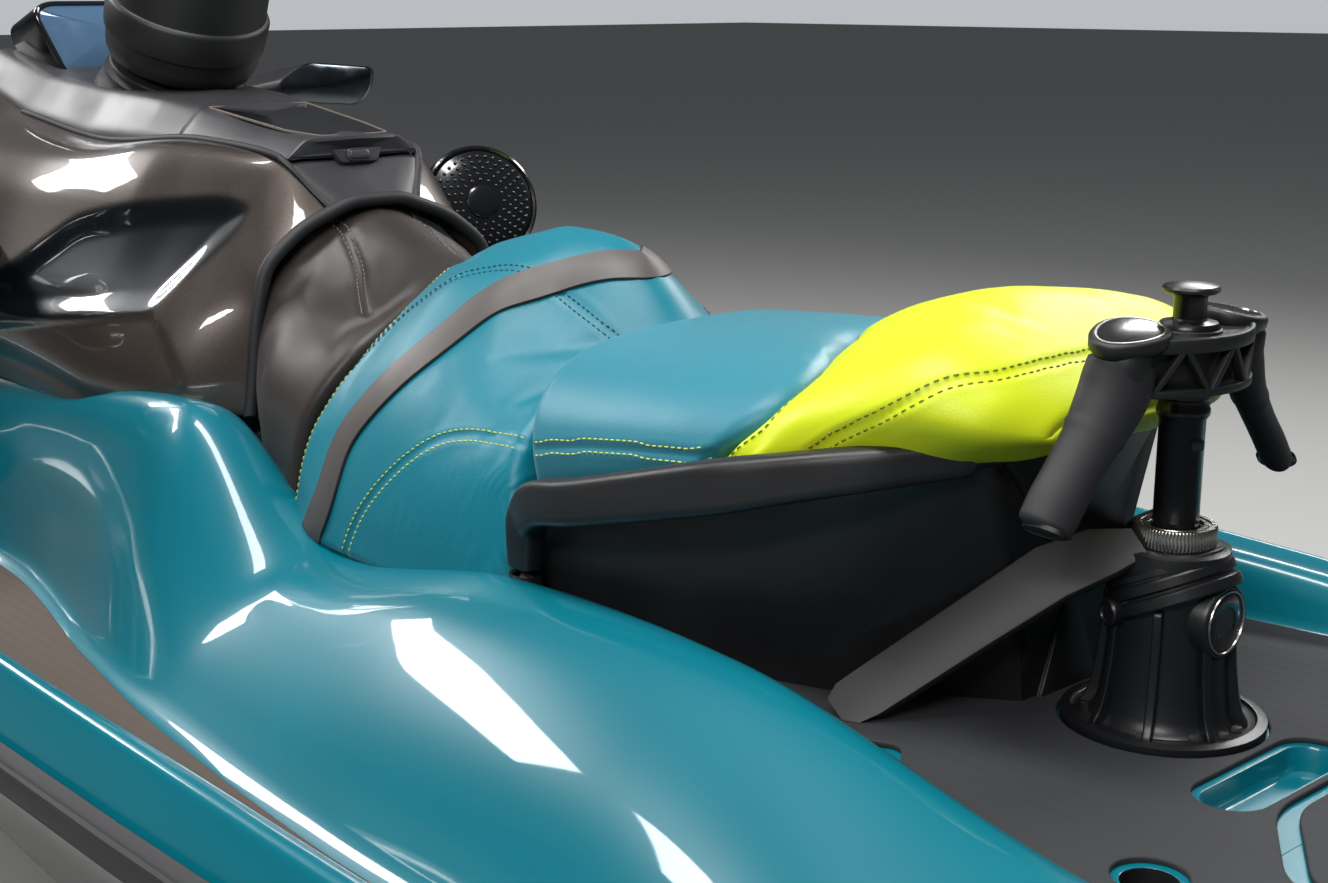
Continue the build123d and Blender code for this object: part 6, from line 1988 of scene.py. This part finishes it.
BELLOWS = [(0, -72), (102, -72), (102, -14), (99, -4), (90, 4), (84, 8), (84, 10), (92, 14), (92, 18),
           (82, 22), (80, 24), (87, 27), (86, 30), (76, 34), (66, 36), (0, 36.5)]
COVER = [(0, 38.5), (64, 38.5), (82, 39.5), (91, 43.5), (95, 51), (97, 60), (97, 74), (98.5, 77), (101, 79),
         (102, 84), (103, 116), (101, 120), (98, 122), (97, 126), (96, 168), (92, 180), (82, 188),
         (60, 192), (0, 193)]
ON_BARS = {"body": "handlebar", "like": "handlebar"}
turned("column_bellows", column(0), COLUMN_UP, BELLOWS, "bellows", 64, sharp_deg=30,
       stands_for=["steering_boot"])
turned("column_cover", column(0), COLUMN_UP, COVER, "nylon", 64, sharp_deg=30, **ON_BARS)
print("column done")

# %% Handlebar, grips and levers
BAR_HALF = [column(196), column(218, 92, -14), column(218, 246, -48), column(204, 395, -78)]
GRIP_LONG = 130.0
RIBS = [(17.3 if k % 2 else 16.2, 10 + 3.0 * k) for k in range(38)]
HAND_GRIP = [(0, 0), (10, 0), (22, 0), (23, 2.5), (22, 5), (17, 8), *RIBS, (17.8, 126), (18, 131),
             (15, 134), (0, 134.5)]
PERCH = [(0, 0), (18, 0), (20, 2), (20, 22), (18, 24), (0, 24)]


def make_handlebar():
    """A bent tube, with a ribbed grip, a perch and a lever at each end."""
    half = np.array(BAR_HALF)
    whole = np.concatenate([half[:0:-1] * (1, -1, 1), half])
    whole = rounded(whole, [0, 40, 40, 30, 40, 40, 0], 8)
    bars = tube("handlebar_tube", spread(whole, 6.0), np.array(COLUMN_UP), 11.0, "tube", 20, **ON_BARS)
    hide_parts("handlebar")
    out = unit(half[-1] - half[-2])
    perch = half[-1] - out * (GRIP_LONG + 26)
    knee = perch + out * 12
    reach = np.array([knee, knee + (30, 0, -7), knee + (50, 4, -12), knee + (50, 0, -12) + out * 40,
                      knee + (44, 0, -12) + out * 85, knee + (50, 0, -12) + out * 118])
    for side, where in SIDES.items():
        flip = np.array([1, side, 1])
        grips, levers = [dict(body="handlebar", **of_pair(node, side)) for node in ("grips", "levers")]
        start = (half[-1] - out * GRIP_LONG) * flip
        turned(f"hand_grip_{where}", start, out * flip, HAND_GRIP, "rubber", 28, sharp_deg=60, **grips)
        turned(f"lever_perch_{where}", perch * flip, out * flip, PERCH, "tube", 32, **levers)
        tube(f"lever_{where}", spread(reach, 4.0) * flip, np.array([0, 0, 1.0]), 6.5, "tube", 14, 0.7,
             body="handlebar", like="levers")


make_handlebar()
PAD = [
    (-66, [(0, 14), (48, 14), (50, 18), (48, 24), (40, 28), (20, 30), (0, 30)]),
    (-36, [(0, 4), (74, 4), (80, 12), (78, 30), (66, 44), (36, 48), (0, 49)]),
    (28, [(0, 0), (80, 0), (86, 12), (82, 38), (66, 56), (36, 62), (0, 63)]),
    (72, [(0, 4), (56, 4), (60, 10), (58, 24), (46, 36), (24, 40), (0, 41)]),
]
pad_grid = cushion_grid(PAD, [72] * 7, [-66] * 7, 5.0, 5,
                        corners=[0, 8, 12, 16, 16, 16, 0]) + column(196) * (1, 0, 1)
closed_skin("steering_pad_cover", pulled_ends(pad_grid, 10), "satin", 180, body="handlebar",
            stands_for=["steering_pad"])
print("handlebar done")

# %% Gauge and speakers
GAUGE = soft_loop([(-84, -48), (84, -48), (112, 40), (92, 56), (-92, 56), (-112, 40)],
                  [14, 14, 20, 16, 16, 20])
GAUGE_AT, GAUGE_FACING = (474, 0, 694), (-1, 0, 0.32)
cap("gauge_housing", GAUGE_AT, GAUGE_FACING, GAUGE, [(4, -96), (0, -88), (0, -6), (1, -2), (3.5, 0), (6, 0),
                                                     (7, -1.5), (7.5, -3)],
    "gloss", stands_for=["gauge"])
cap("gauge_display", GAUGE_AT, GAUGE_FACING, GAUGE, [(7.6, -6), (7.6, -2.2), (8.2, -1.8)], "display",
    like="gauge")
SPEAKER_AT = (170.0, 386.0, 468.0)
SPEAKER_ARM = [(236, 396, 444, 70, 70), (262, 350, 436, 62, 66), (280, 300, 428, 60, 70),
               (286, 262, 424, 56, 74)]
STUD = np.array([(2.7, -2.0), (2.7, 0.2), (2.0, 1.6), (0.9, 2.3), (0.02, 2.4)])
POD = [(0, -190), (38, -190), (46, -150), (76, -66), (82, -54), (84, -40), (84, -8), (83, -3), (80, -1),
       (77, -2), (76, -4), (74, 0), (66, 3), (44, 6), (26, 7), (24, 7), (23, 9.4), (20, 10.4), (8, 10.8),
       (0, 10.9)]


def make_speaker(side, where):
    """A pod that narrows to the bow, with a domed grille of raised studs in rings about its middle."""
    at, facing = np.array(SPEAKER_AT) * (1, side, 1), np.array([-0.90, -0.30 * side, 0.30])
    turned(f"speaker_pod_{where}", at, facing, POD, "gloss", 72, **of_pair("speakers", side))
    spots = []
    for k in range(5):
        r, n = 32 + 8.5 * k, 16 + 5 * k
        turn = 2 * np.pi * (np.arange(n) + 0.5 * (k % 2)) / n
        spots.append(np.stack([r * np.cos(turn), r * np.sin(turn), np.full(n, 6.9 - (r / 36.0) ** 2)], -1))
    turn = turns(8)
    ring = np.stack([np.cos(turn), np.sin(turn), 0 * turn], -1)
    studs = np.concatenate(spots)[:, None, None] + ring * STUD[:, None, :1] + (0, 0, 1) * STUD[:, None, 1:]
    piece = repeated(f"speaker_studs_{where}", at + studs @ np.array(axes_across(facing)), 60)
    cleaned(piece, outwards=True)
    dressed(piece, "gloss", like="speakers")
    bar(f"speaker_arm_{where}", SPEAKER_ARM, "gloss", side, like="speakers")


for side, where in SIDES.items():
    make_speaker(side, where)
print("gauge and speakers done")



# %% Hood and mirrors
HOOD = [
    (584, [(0, 692), (150, 646), (255, 602), (336, 500), (365, 330)]),
    (800, [(0, 628), (140, 606), (250, 562), (325, 465), (345, 322)]),
    (1000, [(0, 566), (120, 550), (215, 515), (285, 430), (312, 322)]),
    (1250, [(0, 478), (90, 467), (150, 440), (195, 390), (215, 328)]),
    (1486, [(0, 388), (30, 384), (58, 374), (78, 358), (90, 326)]),
]


def make_hood():
    """The lid of the front storage: a skin through the outlines, closed over its nose, 4 mm thick."""
    x = np.concatenate([np.arange(584, 1486, 14), [1478, 1484, 1486]])
    grid = np.array([evenly(line, 91) for line in table_rows(HOOD, x, [0, 60, 60, 60, 0], 7)])
    hood = surface("hood_skin", grid, sharp_deg=50)
    outward_from(hood, (1.0, 0, 0.2))
    wall = hood.modifiers.new("thickness", "SOLIDIFY")
    wall.thickness, wall.offset = 4.0 * MM, -1
    dressed(hood, "gloss", body="storage_lid", stands_for=["storage_lid"])


MIRROR_REAR = soft_loop([(-92, -22), (62, -34), (92, -8), (98, 26), (-40, 38), (-100, 8)],
                        [14, 16, 14, 14, 20, 14])
MIRROR_RIM = [(0.955, -3), (0.96, 0), (0.98, 1)]
MIRROR_BACK = [(1.0, 0), (1.0, -3), (0.985, -14), (0.94, -40), (0.8, -90), (0.62, -130), (0.4, -150),
               (0.0, -154)]


def make_mirrors():
    """Each mirror is a housing that tapers forwards from its rim, with a flat glass inside the rim."""
    for side, where in SIDES.items():
        loop = MIRROR_REAR * (-side, 1)
        loop = loop if side < 0 else loop[::-1]
        facing = (-1, 0.12 * side, 0.06)
        axes = np.array(axes_across(facing))
        at = np.array([640, side * 434, 612])
        lean = np.array([0, -side * 1.3, -0.26])
        loops = [np.insert(loop * size, 2, high, axis=1) @ axes + lean * -high
                 for size, high in MIRROR_RIM + MIRROR_BACK]
        loops = [np.broadcast_to(loops[0].mean(0), loops[0].shape)] + loops
        closed_skin(f"mirror_housing_{where}", at + np.array(loops), "satin", 40, body="storage_lid",
                    **of_pair("mirrors", side))
        cap(f"mirror_glass_{where}", at, facing, loop * 0.95, [(0, -4), (0, -1.6), (0.8, -1.2)], "mirror",
            body="storage_lid", **of_pair("mirror_glass", side))


make_hood()
make_mirrors()
print("front pieces done")

# %% [markdown]
# ## The floor
# It lies just under the keel, as in a showroom, and catches the craft's shadow. It is one large grey
# face, and the strip lamps make it paler around the craft than far away.

# %% Floor
def make_floor():
    half, low = 40.0, -0.262
    corners = [(-half, -half, low), (half, -half, low), (half, half, low), (-half, half, low)]
    floor = mesh_object("floor", corners, [(0, 1, 2, 3)])
    floor.data.materials.append(new_material("studio_floor", Base_Color=colour("#A3A3A0"),
                                             Roughness=0.7)[0])


make_floor()
